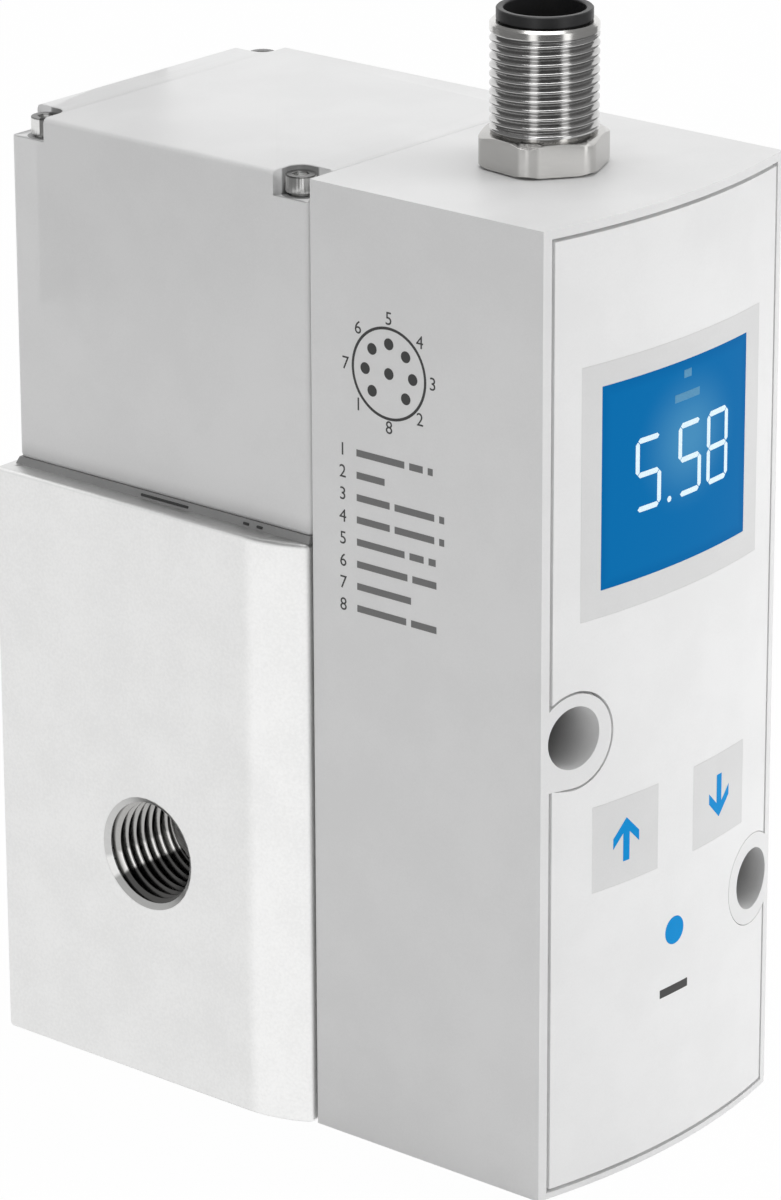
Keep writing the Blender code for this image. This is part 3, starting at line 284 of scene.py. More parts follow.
class Finish(Tree):
    """A material: constants go on its shader's own sockets, patterns read Object coordinates."""

    def __init__(self, name, constants):
        self.material = bpy.data.materials.new(name)
        self.material.use_nodes = True
        super().__init__(self.material.node_tree)
        self.shader = self.tree.nodes["Principled BSDF"]
        self.place = self.node("ShaderNodeTexCoord", output="Object")
        for socket, value in constants.items():
            self.shader.inputs[socket].default_value = value

    def noise(self, size, detail=2.0, stretch=(1.0, 1.0, 1.0), shift=0.0):
        """Clouds about one half; size is the width of a patch."""
        sockets = {"Vector": self.place, "Scale": stretch, "Location": (shift,) * 3}
        place = self.node("ShaderNodeMapping", None, sockets)
        return self.node("ShaderNodeTexNoise", None, {"Vector": place, "Scale": 1 / size, "Detail": detail})

    def apart(self):
        """The X, Y and Z of the place on the piece."""
        return self.outputs("ShaderNodeSeparateXYZ", {0: self.place}).values()

    def ramp(self, value, low, high):
        """0 below the low value, 1 above the high one, smooth between."""
        settings = {"interpolation_type": "SMOOTHSTEP"}
        return self.node("ShaderNodeMapRange", settings, {"Value": value, "From Min": low, "From Max": high})

    def blend(self, first, second, factor):
        settings = {"data_type": "RGBA"}
        return self.node("ShaderNodeMix", settings, {0: factor, 6: colour(first), 7: colour(second)}, 2)

    def feed(self, socket, value):
        self.tree.links.new(value.socket, self.shader.inputs[socket])

    def give_way(self, factor, other):
        """Ends the material with its shader, replaced by another one as far as the factor says."""
        own = Wire(self, self.shader.outputs[0])
        mixed = self.node("ShaderNodeMixShader", None, {0: factor, 1: own, 2: other})
        self.tree.links.new(mixed.socket, self.tree.nodes["Material Output"].inputs[0])

    def bump(self, height, distance, strength=1.0):
        sockets = {"Height": height, "Distance": distance, "Strength": strength}
        self.feed("Normal", self.node("ShaderNodeBump", None, sockets))


def colour(value):
    return value if isinstance(value, Wire) else (*value, 1.0)


def scaled(value, factor):
    return tuple(min(1.0, part * factor) for part in value)


def painted(name, base, roughness, grain, depth, painted_shade=None):
    """Sprayed paint: a faint unevenness in tone, fine orange peel and a slightly uneven sheen, with painted
    shade darkening its colour where a mask is given.
    """
    finish = Finish(name, {"Metallic": 0.0, "IOR": 1.5})
    drift = finish.noise(9 * MM, 3.0)
    speck = finish.noise(0.25 * MM, 2.0, shift=0.3)
    tone = finish.ramp(drift * 0.7 + speck * 0.3, 0.35, 0.65)
    paint = finish.blend(scaled(base, 0.975), scaled(base, 1.015), tone)
    # painted shade: the colour goes towards dark grey as far as the mask says
    if painted_shade is not None:
        paint = finish.blend(paint, scaled(base, 0.14), painted_shade(finish))
    finish.feed("Base Color", paint)
    finish.feed("Roughness", roughness - 0.05 + drift * 0.10)
    peel = finish.noise(grain, 3.0) + finish.noise(grain * 0.35, 2.0, shift=0.7) * 0.4
    finish.bump(peel, depth, 0.6)
    return finish.material


def well_shade(finish):
    """Painted shade that grows with depth inside the two screw wells."""
    x, y, z = finish.apart()
    masks = []
    for node in ("front_screw_1", "front_screw_2"):
        well = middle_of(node)
        away = ((x - well.x) * (x - well.x) + (z - well.z) * (z - well.z)).math("SQRT")
        masks.append(1 - finish.ramp(away, WELL_RADIUS + 0.02 * MM, WELL_RADIUS + 0.08 * MM))
    depth = finish.ramp(y, FACE_EDGE_Y - 1.2 * MM, FACE_EDGE_Y + 6.5 * MM)
    return masks[0].math("MAXIMUM", masks[1]) * depth * 0.8


def joint_shade(finish):
    """Painted shade on the pilot housing, darker along its joint with the block and in its corner pockets."""
    x, y, z = finish.apart()
    low = BLOCK_HIGH.z
    joint = (1 - finish.ramp(z, low + 0.4 * MM, low + 3.2 * MM)) * 0.30
    across = x.math("ABSOLUTE") - middle_of("rear_screw_4").x
    pockets = finish.ramp(z, NOTCH_FLOOR - 0.1 * MM, NOTCH_FLOOR)
    pockets = pockets * (1 - finish.ramp(z, TOP_Z - 0.15 * MM, TOP_Z - 0.05 * MM))
    shade = joint
    for node in ("rear_screw_3", "rear_screw_4"):
        depth = y - middle_of(node).y
        away = (across * across + depth * depth).math("SQRT")
        shade = shade.math("MAXIMUM", (1 - finish.ramp(away, 2.05 * MM, 2.2 * MM)) * pockets * 0.8)
    return shade


def tones_by_bearing(finish, edges, tones, soft):
    """Changes from tone to tone at the edges, in degrees round the connector from the camera's side."""
    x, y, _ = finish.apart()
    turn = math.radians(AZIMUTH)
    y = y - CONNECTOR_Y
    across = x * math.cos(turn) + y * math.sin(turn)
    forward = x * math.sin(turn) - y * math.cos(turn)
    bearing = across.math("ARCTAN2", forward)
    tone = across * 0.0 + tones[0]
    for edge, before, after in zip(edges, tones, tones[1:]):
        start = math.radians(edge)
        tone = tone + finish.ramp(bearing, start - soft, start + soft) * (after - before)
    return tone


def flange_tone(finish):
    """Painted reflection: some of the hexagon's faces are painted darker than others."""
    return tones_by_bearing(finish, FLANGE_EDGES, FLANGE_PAINTED_DARKNESS, 0.04)


def head_tone(finish):
    """Painted shade and dark reflection: the tops and sockets of the screws in the corner pockets are
    darkened.
    """
    _, _, z = finish.apart()
    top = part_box("rear_screw_4")[1].z
    return finish.ramp(z, top - 0.22 * MM, top - 0.08 * MM) * 0.8


def ledge_tone(finish):
    """Painted shade on the block: its upper face and top edge are darker, and its straight sides are darker
    than their turned-in ends.
    """
    _, y, z = finish.apart()
    ledge = finish.ramp(z, BLOCK_HIGH.z - 0.6 * MM, BLOCK_HIGH.z - 0.3 * MM) * 0.20
    sides = finish.ramp(y, BLOCK_LOW.y + 6.0 * MM, BLOCK_LOW.y + 8.0 * MM) * 0.12
    return ledge.math("MAXIMUM", sides)


def groove_tone(radius, depth, axis):
    """Painted shade in a thread's grooves; in the air ports also the painted shade and reflection of the
    port.
    """
    def mask(finish):
        x, y, z = finish.apart()
        first, second = {
            "X": (y - VALVE_Y, z - PORT_Z), "Y": (x, z - EXHAUST_Z), "Z": (x, y - CONNECTOR_Y),
        }[axis]
        away = (first * first + second * second).math("SQRT")
        if axis == "Z":
            return (1 - finish.ramp(away, radius - depth, radius)) * 0.3
        groove = finish.ramp(away, radius - depth, radius)
        if axis == "Y":
            return groove * 0.6
        return groove.math("MAXIMUM", oil_tone(finish, first, second)) * 0.96
    return mask


def oil_tone(finish, across, up):
    """Painted shade and reflection in an air port: darkest along the bottom, less dark above, with a lighter
    painted streak between.
    """
    turn = (-up).math("ARCTAN2", across)
    streak = finish.ramp(turn, math.radians(14), math.radians(20))
    bottom_darkness = finish.ramp(turn, math.radians(36), math.radians(42)) * (1 - finish.ramp(turn, 2.5, 2.7))
    return 0.55 - streak * 0.55 + bottom_darkness


def mouth_tone(finish):
    """The port's countersink: painted shade from the same pattern, darkest along the bottom."""
    _, y, z = finish.apart()
    return oil_tone(finish, y - VALVE_Y, z - PORT_Z) * 0.55


def satin_metal(name, base, roughness, lay=(1.0, 1.0, 1.0), depth=0.004 * MM, spread=0.05, painted_shade_and_reflection=None):
    """Bare or plated metal with fine marks drawn out along the way that it was worked, with painted shade and
    reflection darkening its colour where a mask is given.
    """
    finish = Finish(name, {"Metallic": 1.0})
    marks = finish.noise(0.35 * MM, 4.0, lay)
    drift = finish.noise(7 * MM, 2.0, shift=0.5)
    tone = finish.ramp(marks * 0.6 + drift * 0.4, 0.3, 0.7)
    metal = finish.blend(scaled(base, 0.95), scaled(base, 1.03), tone)
    # painted shade and reflection: the colour goes towards near black as far as the mask says
    if painted_shade_and_reflection is not None:
        metal = finish.blend(metal, scaled(base, 0.05), painted_shade_and_reflection(finish))
    finish.feed("Base Color", metal)
    finish.feed("Roughness", roughness - spread + marks * 2 * spread)
    finish.bump(marks, depth, 0.5)
    return finish.material


def moulded(name, base, roughness, grain=0.22 * MM, depth=0.006 * MM):
    """Moulded plastic or rubber with a fine eroded grain."""
    finish = Finish(name, {"Metallic": 0.0, "IOR": 1.5})
    pits = finish.node(
        "ShaderNodeTexVoronoi", {"feature": "F1"}, {"Vector": finish.place, "Scale": 1 / grain}, "Distance"
    )
    drift = finish.noise(4 * MM, 3.0)
    finish.feed("Base Color", finish.blend(scaled(base, 0.85), scaled(base, 1.15), drift))
    finish.feed("Roughness", roughness - 0.06 + drift * 0.12)
    finish.bump(pits + drift, depth, 0.5)
    return finish.material


def lit_screen():
    """The display's window: deep blue at its edges and paler about its middle, lit from behind."""
    constants = {"Roughness": 0.35, "Specular IOR Level": 0.02, "Emission Strength": 1.0}
    finish = Finish("screen_blue", constants)
    x, _, z = finish.apart()
    across = (x - 1.5 * MM) / (9.5 * MM)
    up = (z - SCREEN_Z - 2.5 * MM) / (9.0 * MM)
    glow = finish.ramp(1.0 - (across * across + up * up).math("SQRT"), 0.0, 1.0)
    edge_x = finish.ramp(x.math("ABSOLUTE"), SCREEN_WIDTH / 2 - 1.6 * MM, SCREEN_WIDTH / 2)
    edge_z = finish.ramp((z - SCREEN_Z).math("ABSOLUTE"), SCREEN_HEIGHT / 2 - 1.6 * MM, SCREEN_HEIGHT / 2)
    edge = edge_x.math("MAXIMUM", edge_z)
    dots = finish.noise(0.12 * MM, 1.0)
    base = finish.blend((0.0, 0.012, 0.035), (0.0, 0.02, 0.045), glow)
    finish.feed("Base Color", finish.blend(base, (0.0, 0.008, 0.025), edge * 0.7))
    light = finish.blend((0.0, 0.140, 0.385), (0.060, 0.250, 0.470), glow + dots * 0.05)
    finish.feed("Emission Color", finish.blend(light, (0.0, 0.115, 0.34), edge * 0.5))
    return finish.material


def figures_light():
    """The display's lit figures, a little uneven in their glow."""
    constants = {"Roughness": 0.35, "Specular IOR Level": 0.1, "Emission Strength": 0.42}
    finish = Finish("figures_white", constants)
    haze = finish.noise(0.8 * MM, 2.0)
    finish.feed("Base Color", finish.blend((0.40, 0.52, 0.60), (0.48, 0.60, 0.66), haze))
    finish.feed("Emission Color", finish.blend((0.75, 0.88, 0.95), (0.9, 0.97, 1.0), haze))
    return finish.material


def printed(name, base, roughness=0.45):
    """Screen-printed ink with a little mottle in its density."""
    finish = Finish(name, {"Specular IOR Level": 0.08})
    mottle = finish.noise(0.15 * MM, 3.0)
    finish.feed("Base Color", finish.blend(scaled(base, 0.9), scaled(base, 1.12), mottle))
    finish.feed("Roughness", roughness - 0.05 + mottle * 0.1)
    finish.bump(mottle, 0.004 * MM, 0.5)
    return finish.material


def circuit_board():
    """Green board with lighter tracks laid out square."""
    finish = Finish("board_green", {"Roughness": 0.4})
    x, y, z = finish.apart()
    waves = [(axis * (FULL_TURN / (1.6 * MM))).math("SINE") for axis in (x, y, z)]
    lines = finish.ramp((waves[0] + waves[1] + waves[2]).math("ABSOLUTE"), 0.0, 0.35)
    finish.feed("Base Color", finish.blend((0.05, 0.26, 0.10), (0.02, 0.17, 0.07), lines))
    finish.bump(lines, 0.02 * MM, 0.5)
    return finish.material


def finishes():
    """Every finish of the object, by name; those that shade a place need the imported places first."""
    plain, cast = (1.0, 1.0, 1.0), (0.89, 0.89, 0.885)
    # The housings' paint and several satin metals carry painted shade and reflection in their colour, from
    # the masks given to them.
    return {
        "painted_light_grey": painted("painted_light_grey", (0.80, 0.80, 0.80), 0.45, 0.9 * MM, 0.010 * MM),
        "housing_paint": painted("housing_paint", (0.80, 0.80, 0.80), 0.45, 0.9 * MM, 0.010 * MM, well_shade),
        "pilot_paint": painted("pilot_paint", (0.80, 0.80, 0.80), 0.45, 0.9 * MM, 0.010 * MM, joint_shade),
        "panel_white": painted("panel_white", (0.845, 0.845, 0.845), 0.42, 0.5 * MM, 0.005 * MM),
        "key_grey": painted("key_grey", (0.71, 0.71, 0.71), 0.42, 0.5 * MM, 0.005 * MM),
        "cast_light_grey": satin_metal("satin_aluminium", cast, 0.42, plain, 0.003 * MM, painted_shade_and_reflection=ledge_tone),
        "turned_aluminium": satin_metal("turned_aluminium", (0.78, 0.78, 0.77), 0.3, plain, 0.002 * MM),
        "port_thread": satin_metal("port_thread", (0.86, 0.85, 0.83), 0.2, plain, 0.002 * MM,
                                   painted_shade_and_reflection=groove_tone(PORT_RADIUS, PORT_THREAD, "X")),
        "port_mouth": satin_metal("port_mouth", (0.80, 0.80, 0.79), 0.32, plain, 0.002 * MM, painted_shade_and_reflection=mouth_tone),
        "thread_metal": satin_metal("thread_metal", (0.74, 0.73, 0.71), 0.2, (0.3, 4.0, 0.3), 0.002 * MM,
                                    painted_shade_and_reflection=groove_tone(EXHAUST_RADIUS, EXHAUST_THREAD, "Y")),
        "nickel": satin_metal("nickel", (0.78, 0.77, 0.75), 0.2, (0.2, 0.2, 3.0), 0.0008 * MM, 0.03),
        "flange_nickel": satin_metal("flange_nickel", (0.81, 0.80, 0.78), 0.2, (0.2, 0.2, 3.0), 0.0008 * MM,
                                     0.03, flange_tone),
        "nickel_thread": satin_metal("nickel_thread", (0.66, 0.655, 0.65), 0.16, plain, 0.0005 * MM, 0.02,
                                     groove_tone(BARREL_RADIUS, PLUG_THREAD, "Z")),
        "steel": satin_metal("steel", (0.62, 0.62, 0.62), 0.25, (0.3, 0.3, 3.0), 0.003 * MM),
        "screw_steel": satin_metal("screw_steel", (0.74, 0.74, 0.73), 0.3, (0.3, 0.3, 3.0), 0.002 * MM, 0.04,
                                   head_tone),
        "gold_pin": satin_metal("gold_pin", (0.83, 0.63, 0.28), 0.2, (0.3, 0.3, 3.0), 0.001 * MM),
        "black_plastic": moulded("black_plastic", (0.018, 0.018, 0.019), 0.4),
        "black_rubber": moulded("black_rubber", (0.028, 0.028, 0.028), 0.65, 0.15 * MM, 0.004 * MM),
        "grey_gasket": moulded("grey_gasket", (0.27, 0.27, 0.27), 0.6, 0.15 * MM, 0.004 * MM),
        "board_green": circuit_board(),
        "dot_blue": printed("key_blue", (0.0, 0.27, 0.66), 0.4),
        "screen_blue": lit_screen(),
        "figures": figures_light(),
        "faint_figures": printed("faint_figures", (0.10, 0.30, 0.50), 0.4),
        "dark_print": printed("dark_print", (0.075, 0.075, 0.075)),
        "grey_print": printed("grey_print", (0.20, 0.20, 0.20)),
    }


def new_object(name, mesh):
    piece = bpy.data.objects.new(name, mesh)
    bpy.context.scene.collection.objects.link(piece)
    return piece


def made_from(form, name):
    """A plain object from a bmesh, which is freed."""
    mesh = bpy.data.meshes.new(name)
    form.to_mesh(mesh)
    form.free()
    return new_object(name, mesh)


def settle(piece, *tools):
    """Turns a curve, text or modified mesh into a plain mesh in place, and removes the tools it used."""
    bpy.context.view_layer.update()
    depsgraph = bpy.context.evaluated_depsgraph_get()
    mesh = bpy.data.meshes.new_from_object(piece.evaluated_get(depsgraph))
    mesh.transform(piece.matrix_world)
    name = piece.name
    bpy.data.objects.remove(piece, do_unlink=True)
    for tool in tools:
        bpy.data.objects.remove(tool, do_unlink=True)
    mesh.name = name
    return new_object(name, mesh)


def weld(piece):
    """Merges doubles and points the faces of a closed mesh outwards."""
    form = bmesh.new()
    form.from_mesh(piece.data)
    bmesh.ops.remove_doubles(form, verts=form.verts, dist=WELD)
    bmesh.ops.dissolve_degenerate(form, edges=form.edges, dist=WELD)
    bmesh.ops.recalc_face_normals(form, faces=form.faces)
    form.to_mesh(piece.data)
    form.free()
    return piece


def soften(piece, angle=SHARP_ANGLE):
    """Smooth shading on round faces, with the flat faces kept flat."""
    piece.data.shade_smooth()
    piece.data.set_sharp_from_angle(angle=math.radians(angle))
    normals = piece.modifiers.new("normals", "WEIGHTED_NORMAL")
    normals.keep_sharp = True
    normals.weight = 100
    return settle(piece)


def bevelled(piece, width, segments=3, angle=40.0):
    bevel = piece.modifiers.new("edges", "BEVEL")
    bevel.width = width
    bevel.segments = segments
    bevel.limit_method = "ANGLE"
    bevel.angle_limit = math.radians(angle)
    bevel.use_clamp_overlap = True
    return settle(piece)


def boolean(piece, operation, *tools):
    for tool in tools:
        step = piece.modifiers.new(tool.name, "BOOLEAN")
        step.operation = operation
        step.solver = "EXACT"
        step.object = tool
    return settle(piece, *tools)


def dress(piece, finish, nodes=(), body="regulator"):
    """Gives a finished piece its material and body, and hides the CAD nodes that it stands for."""
    piece.data.materials.clear()
    piece.data.materials.append(FINISHES[finish])
    if nodes:
        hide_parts(*nodes)
    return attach(piece, body)


def plate(name, outlines, low, high, plane="XY"):
    """Flat outlines given a thickness: upright along Z, or along Y with the outlines in XZ."""
    curve = bpy.data.curves.new(name, "CURVE")
    curve.dimensions = "2D"
    curve.fill_mode = "BOTH"
    curve.extrude = (high - low) / 2
    for outline in outlines:
        spline = curve.splines.new("POLY")
        spline.points.add(len(outline) - 1)
        for point, (across, up) in zip(spline.points, outline):
            point.co = (across, up, 0.0, 1.0)
        spline.use_cyclic_u = True
    piece = new_object(name, curve)
    middle = (low + high) / 2
    if plane == "XZ":
        piece.matrix_world = Matrix.Translation((0, middle, 0)) @ Matrix.Rotation(math.pi / 2, 4, "X")
    else:
        piece.matrix_world = Matrix.Translation((0, 0, middle))
    return weld(settle(piece))


def rectangle(x, z, width, height):
    left, right = x - width / 2, x + width / 2
    low, high = z - height / 2, z + height / 2
    return [(left, low), (right, low), (right, high), (left, high)]


def circle(x, z, radius, steps=48):
    turns = [FULL_TURN * i / steps for i in range(steps)]
    return [(x + radius * math.cos(turn), z + radius * math.sin(turn)) for turn in turns]


def lathe(name, profile, place, steps=64):
    """A turned solid about an upright axis; the profile's (radius, height) points run down its outside."""
    form = bmesh.new()
    points = [form.verts.new((radius, 0.0, height)) for radius, height in profile]
    edges = [form.edges.new(pair) for pair in zip(points, points[1:])]
    if profile[0][0] > 0:
        edges.append(form.edges.new((points[-1], points[0])))
    bmesh.ops.spin(
        form, geom=points + edges, axis=(0, 0, 1), cent=(0, 0, 0), steps=steps, angle=FULL_TURN,
        use_merge=True,
    )
    piece = made_from(form, name)
    piece.data.transform(Matrix.Translation(place))
    return weld(piece)


def face_y(x):
    """The curved face's place in Y at a distance from the middle."""
    return HOUSING_LOW.y + FACE_RADIUS - math.sqrt(FACE_RADIUS ** 2 - x ** 2)


def face_space(lift):
    """Everything behind the curved face, raised by the lift."""
    outline = [(HALF_WIDTH, VALVE_Y), (-HALF_WIDTH, VALVE_Y)]
    for i in range(FACE_STEPS + 1):
        x = HALF_WIDTH * (2 * i / FACE_STEPS - 1)
        outline.append((x, face_y(x) - lift))
    return plate("face_space", [outline], -MM, TOP_Z + MM)


def on_face(name, outlines, lift=0.0, back=PANEL_BACK_Y):
    """A flush or raised piece of the face with the given outlines in X and Z."""
    piece = plate(name, outlines, HOUSING_LOW.y - MM, back, "XZ")
    return boolean(piece, "INTERSECT", face_space(lift))


def middle_of(node):
    low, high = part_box(node)
    return (low + high) / 2


def boss_bite(side, well, radius, edge_x, tail=None, steps=40):
    """The round bite that a screw boss takes out of an upright edge, its lower end drawn out to the tail."""
    well_x, z = side * well.x, well.z
    half_open = math.acos((edge_x - well_x) / radius)
    stop = FULL_TURN - half_open
    if tail is not None:
        away = Vector((edge_x - well_x, z - tail))
        stop = FULL_TURN - math.atan2(away.y, away.x) - math.acos(radius / away.length)
    points = []
    for i in range(steps + 1):
        angle = -half_open - (stop - half_open) * i / steps
        points.append((side * (well_x + radius * math.cos(angle)), z + side * radius * math.sin(angle)))
    if tail is not None:
        points.append((side * edge_x, tail))
    return points


def face_inset(side, top, bottom, left_boss, right_boss, drawn_out=True):
    """The face's outline, inset from the housing's edges and kept clear of both screw bosses."""
    left_well = middle_of("front_screw_1")
    right_well = middle_of("front_screw_2")
    tail = left_well.z - LEFT_BOSS_TAIL if drawn_out else None
    left_well.z -= LEFT_BOSS_DROP
    edge_x = HALF_WIDTH - side
    outline = [(-edge_x, bottom), (edge_x, bottom)]
    outline += boss_bite(1, right_well, right_boss, edge_x)
    outline += [(edge_x, TOP_Z - top), (-edge_x, TOP_Z - top)]
    return outline + boss_bite(-1, left_well, left_boss, edge_x, tail)


def panel_outline(seam=1.0):
    """The panel's outline, with its seam to the housing at full width or a share of it."""
    side, top, bottom = (rim + seam * SEAM for rim in (RIM_SIDE, RIM_TOP, RIM_BOTTOM))
    left, right = (BOSS_RADIUS + seam * width for width in (LEFT_BOSS_SEAM, RIGHT_BOSS_SEAM))
    return face_inset(side, top, bottom, left, right)


def cutter(profile, place, axis="Z", direction=1, steps=64):
    """A turned cutter or core; its profile's heights run along the axis from the place."""
    piece = lathe("cutter", profile, (0, 0, 0), steps)
    piece.data.transform(Matrix.Translation(place) @ along(axis, direction))
    return piece


def bore(radius, start, length, axis="Z", direction=1, steps=64):
    return cutter([(0.0, length), (radius, length), (radius, 0.0), (0.0, 0.0)], start, axis, direction, steps)


def front_shell():
    """The display housing: curved face, panel seat, hollow inside and two deep screw wells."""
    seam_y = HOUSING_HIGH.y
    outline = [(HALF_WIDTH, seam_y), (-HALF_WIDTH, seam_y)]
    for i in range(FACE_STEPS + 1):
        x = HALF_WIDTH * (2 * i / FACE_STEPS - 1)
        outline.append((x, face_y(x)))
    shell = bevelled(plate("front_housing_shell", [outline], 0.0, TOP_Z), EDGE_ROUND, 4)
    seat = plate("panel_seat", [face_inset(RIM_SIDE, RIM_TOP, RIM_BOTTOM, BOSS_RADIUS, BOSS_RADIUS)],
                 HOUSING_LOW.y - MM, PANEL_BACK_Y + 0.2 * MM, "XZ")
    shell = boolean(shell, "DIFFERENCE", seat)
    backs = [FACE_EDGE_Y + depth for depth in BOARD_BACKS] + [seam_y - BACK_WALL]
    rims = ((WALL, WALL, WALL), (WALL + LEDGE, WALL, WALL), (WALL + 2 * LEDGE, WALL, WALL + LEDGE))
    for level, (rim, back) in enumerate(zip(rims, backs), start=1):
        boss = BOSS_RADIUS + level * BOSS_STEP
        shell = boolean(shell, "DIFFERENCE",
                        plate("space", [face_inset(*rim, boss, boss, False)], FACE_EDGE_Y, back, "XZ"))
    for node in ("front_screw_1", "front_screw_2"):
        well = middle_of(node)
        front = (well.x, HOUSING_LOW.y - MM, well.z)
        hole_depth = seam_y + MM - front[1]
        shell = boolean(shell, "DIFFERENCE", bore(WELL_RADIUS, front, WELL_FLOOR_Y - front[1], "Y"))
        shell = boolean(shell, "DIFFERENCE", bore(SCREW_HOLE_RADIUS, front, hole_depth, "Y", steps=24))
    opening = bore(SHANK_RADIUS + 0.15 * MM, (0, CONNECTOR_Y, TOP_Z - WALL - MM), WALL + 2 * MM)
    wires = bore(WIRE_HOLE_RADIUS, (0, seam_y - BACK_WALL - MM, WIRE_HOLE_Z), BACK_WALL + 2 * MM, "Y")
    shell = soften(boolean(shell, "DIFFERENCE", opening, wires))
    dress(shell, "housing_paint", ["front_housing"])


def window(name, outline):
    """A cutter right through the panel."""
    return plate(name, [outline], HOUSING_LOW.y - MM, PANEL_BACK_Y + MM, "XZ")


def face_pieces():
    """The panel and its flush fields: display frame, screen, two square keys and a round one."""
    frame_z = middle_of("display_frame").z
    keys = [("up_key", middle_of("up_key")), ("down_key", middle_of("down_key"))]
    dot = middle_of("edit_key")
    gap = 2 * FILM_GAP
    panel = on_face("front_panel_skin", [panel_outline()])
    skirt = on_face("panel_skirt", [panel_outline(0.12)], -SEAM_DEPTH)
    panel = boolean(panel, "UNION", skirt)
    windows = [
        window("frame_window", rectangle(0, frame_z, FRAME_WIDTH + gap, FRAME_HEIGHT + gap)),
        window("dot_window", circle(0, dot.z, DOT_RADIUS + FILM_GAP)),
    ]
    for name, place in keys:
        outline = rectangle(place.x, place.z, KEY_WIDTH + gap, KEY_HEIGHT + gap)
        windows.append(window(name + "_window", outline))
    panel = soften(boolean(panel, "DIFFERENCE", *windows))
    dress(panel, "panel_white", ["front_panel"])

    surround = on_face("display_surround", [rectangle(0, frame_z, FRAME_WIDTH, FRAME_HEIGHT)])
    opening = window("screen_opening", rectangle(0, SCREEN_Z, SCREEN_WIDTH + gap, SCREEN_HEIGHT + gap))
    surround = soften(boolean(surround, "DIFFERENCE", opening))
    dress(surround, "key_grey", ["display_frame"])

    screen = soften(on_face("display_window", [rectangle(0, SCREEN_Z, SCREEN_WIDTH, SCREEN_HEIGHT)]))
    dress(screen, "screen_blue", ["display_screen"])

    for name, place in keys:
        cap = soften(on_face(name + "_cap", [rectangle(place.x, place.z, KEY_WIDTH, KEY_HEIGHT)]))
        dress(cap, "key_grey", [name], name)
    cap = soften(on_face("edit_key_cap", [circle(0, dot.z, DOT_RADIUS)], PRINT_LIFT))
    dress(cap, "dot_blue", ["edit_key"], "edit_key")


def arrow_outline(x, middle_z, up):
    """A plain arrow, its point up or down."""
    half_length, half_stem, reach, barb = 2.55 * MM, 0.5 * MM, 2.05 * MM, 1.25 * MM
    half = [
        (reach, -reach), (reach, -reach - barb), (half_stem, -half_stem - barb),
        (half_stem, -2 * half_length),
    ]
    points = [(0.0, 0.0)] + half + [(-across, down) for across, down in reversed(half)]
    turn = 1 if up else -1
    return [(x + across, middle_z + turn * (half_length + down)) for across, down in points]


def segments(figure, left):
    """The strokes of one figure of a seven-bar display, each with pointed ends."""
    lit = {"5": "afgcd", "8": "abcdefg"}[figure]
    right = left + DIGIT_WIDTH - STROKE
    rows = [DIGIT_BOTTOM + (DIGIT_HEIGHT - STROKE) * share + STROKE / 2 for share in (0.0, 0.5, 1.0)]
    columns = (left + STROKE / 2, right + STROKE / 2)
    flat = {"a": rows[2], "g": rows[1], "d": rows[0]}
    upright = {"f": (0, 1), "b": (1, 1), "e": (0, 0), "c": (1, 0)}
    slit = 0.07 * MM
    shapes = []
    for name in lit:
        if name in flat:
            start, end, level = columns[0] + slit, columns[1] - slit, flat[name]
            shapes.append(bar(start, end, level, False))
        else:
            column, row = upright[name]
            shapes.append(bar(rows[row] + slit, rows[row + 1] - slit, columns[column], True))
    return shapes


def bar(start, end, level, upright):
    """One stroke between two places along a line, with its ends cut to points."""
    half = STROKE / 2
    points = [
        (start, level), (start + half, level - half), (end - half, level - half),
        (end, level), (end - half, level + half), (start + half, level + half),
    ]
    return [(across, along) for along, across in points] if upright else points


def face_print():
    """Arrows on the keys, figures and marks on the screen, and a plain mark under the round key."""
    for name, up in (("up_key", True), ("down_key", False)):
        place = middle_of(name)
        arrow = soften(on_face(name + "_arrow", [arrow_outline(place.x, place.z, up)], PRINT_LIFT))
        dress(arrow, "dot_blue", body=name)
    shapes = []
    for figure, left in DIGITS:
        shapes += segments(figure, left)
    shapes.append(circle(POINT_X, DIGIT_BOTTOM + STROKE / 2, STROKE * 0.55, 16))
    dress(soften(on_face("display_figures", shapes, PRINT_LIFT)), "figures")
    marks = [rectangle(*mark) for mark in SCREEN_MARKS]
    dress(soften(on_face("display_marks", marks, PRINT_LIFT)), "faint_figures")
    mark = on_face("edit_mark", [rectangle(*KEY_MARK)], PRINT_LIFT)
    dress(soften(mark), "dark_print")


class GeometryTree(Tree):
    """A geometry node tree with named inputs, run on an empty mesh to make a plain one."""

    def __init__(self, name, inputs):
        group = bpy.data.node_groups.new(name, "GeometryNodeTree")
        super().__init__(group)
        group.interface.new_socket(name="Geometry", in_out="INPUT", socket_type="NodeSocketGeometry")
        group.interface.new_socket(name="Geometry", in_out="OUTPUT", socket_type="NodeSocketGeometry")
        self.identifiers = {}
        for label, kind in inputs.items():
            socket = group.interface.new_socket(name=label, in_out="INPUT", socket_type="NodeSocket" + kind)
            self.identifiers[label] = socket.identifier
        self.entry = self.outputs("NodeGroupInput")

    def close(self, geometry):
        """Realizes what the tree made, gives it its material and ends the tree."""
        real = self.node("GeometryNodeRealizeInstances", None, {"Geometry": geometry})
        sockets = {"Geometry": real, "Material": self.entry["Finish"]}
        self.node("NodeGroupOutput", None, {0: self.node("GeometryNodeSetMaterial", None, sockets)})

    def position(self):
        """The X, Y and Z of each point."""
        return self.outputs("ShaderNodeSeparateXYZ", {0: self.node("GeometryNodeInputPosition")}).values()

    def make(self, name, values, place):
        """A plain mesh object from the tree, put in its place."""
        piece = new_object(name, bpy.data.meshes.new(name))
        step = piece.modifiers.new("tree", "NODES")
        step.node_group = self.tree
        for label, value in values.items():
            step[self.identifiers[label]] = value
        piece.matrix_world = place
        return weld(settle(piece))


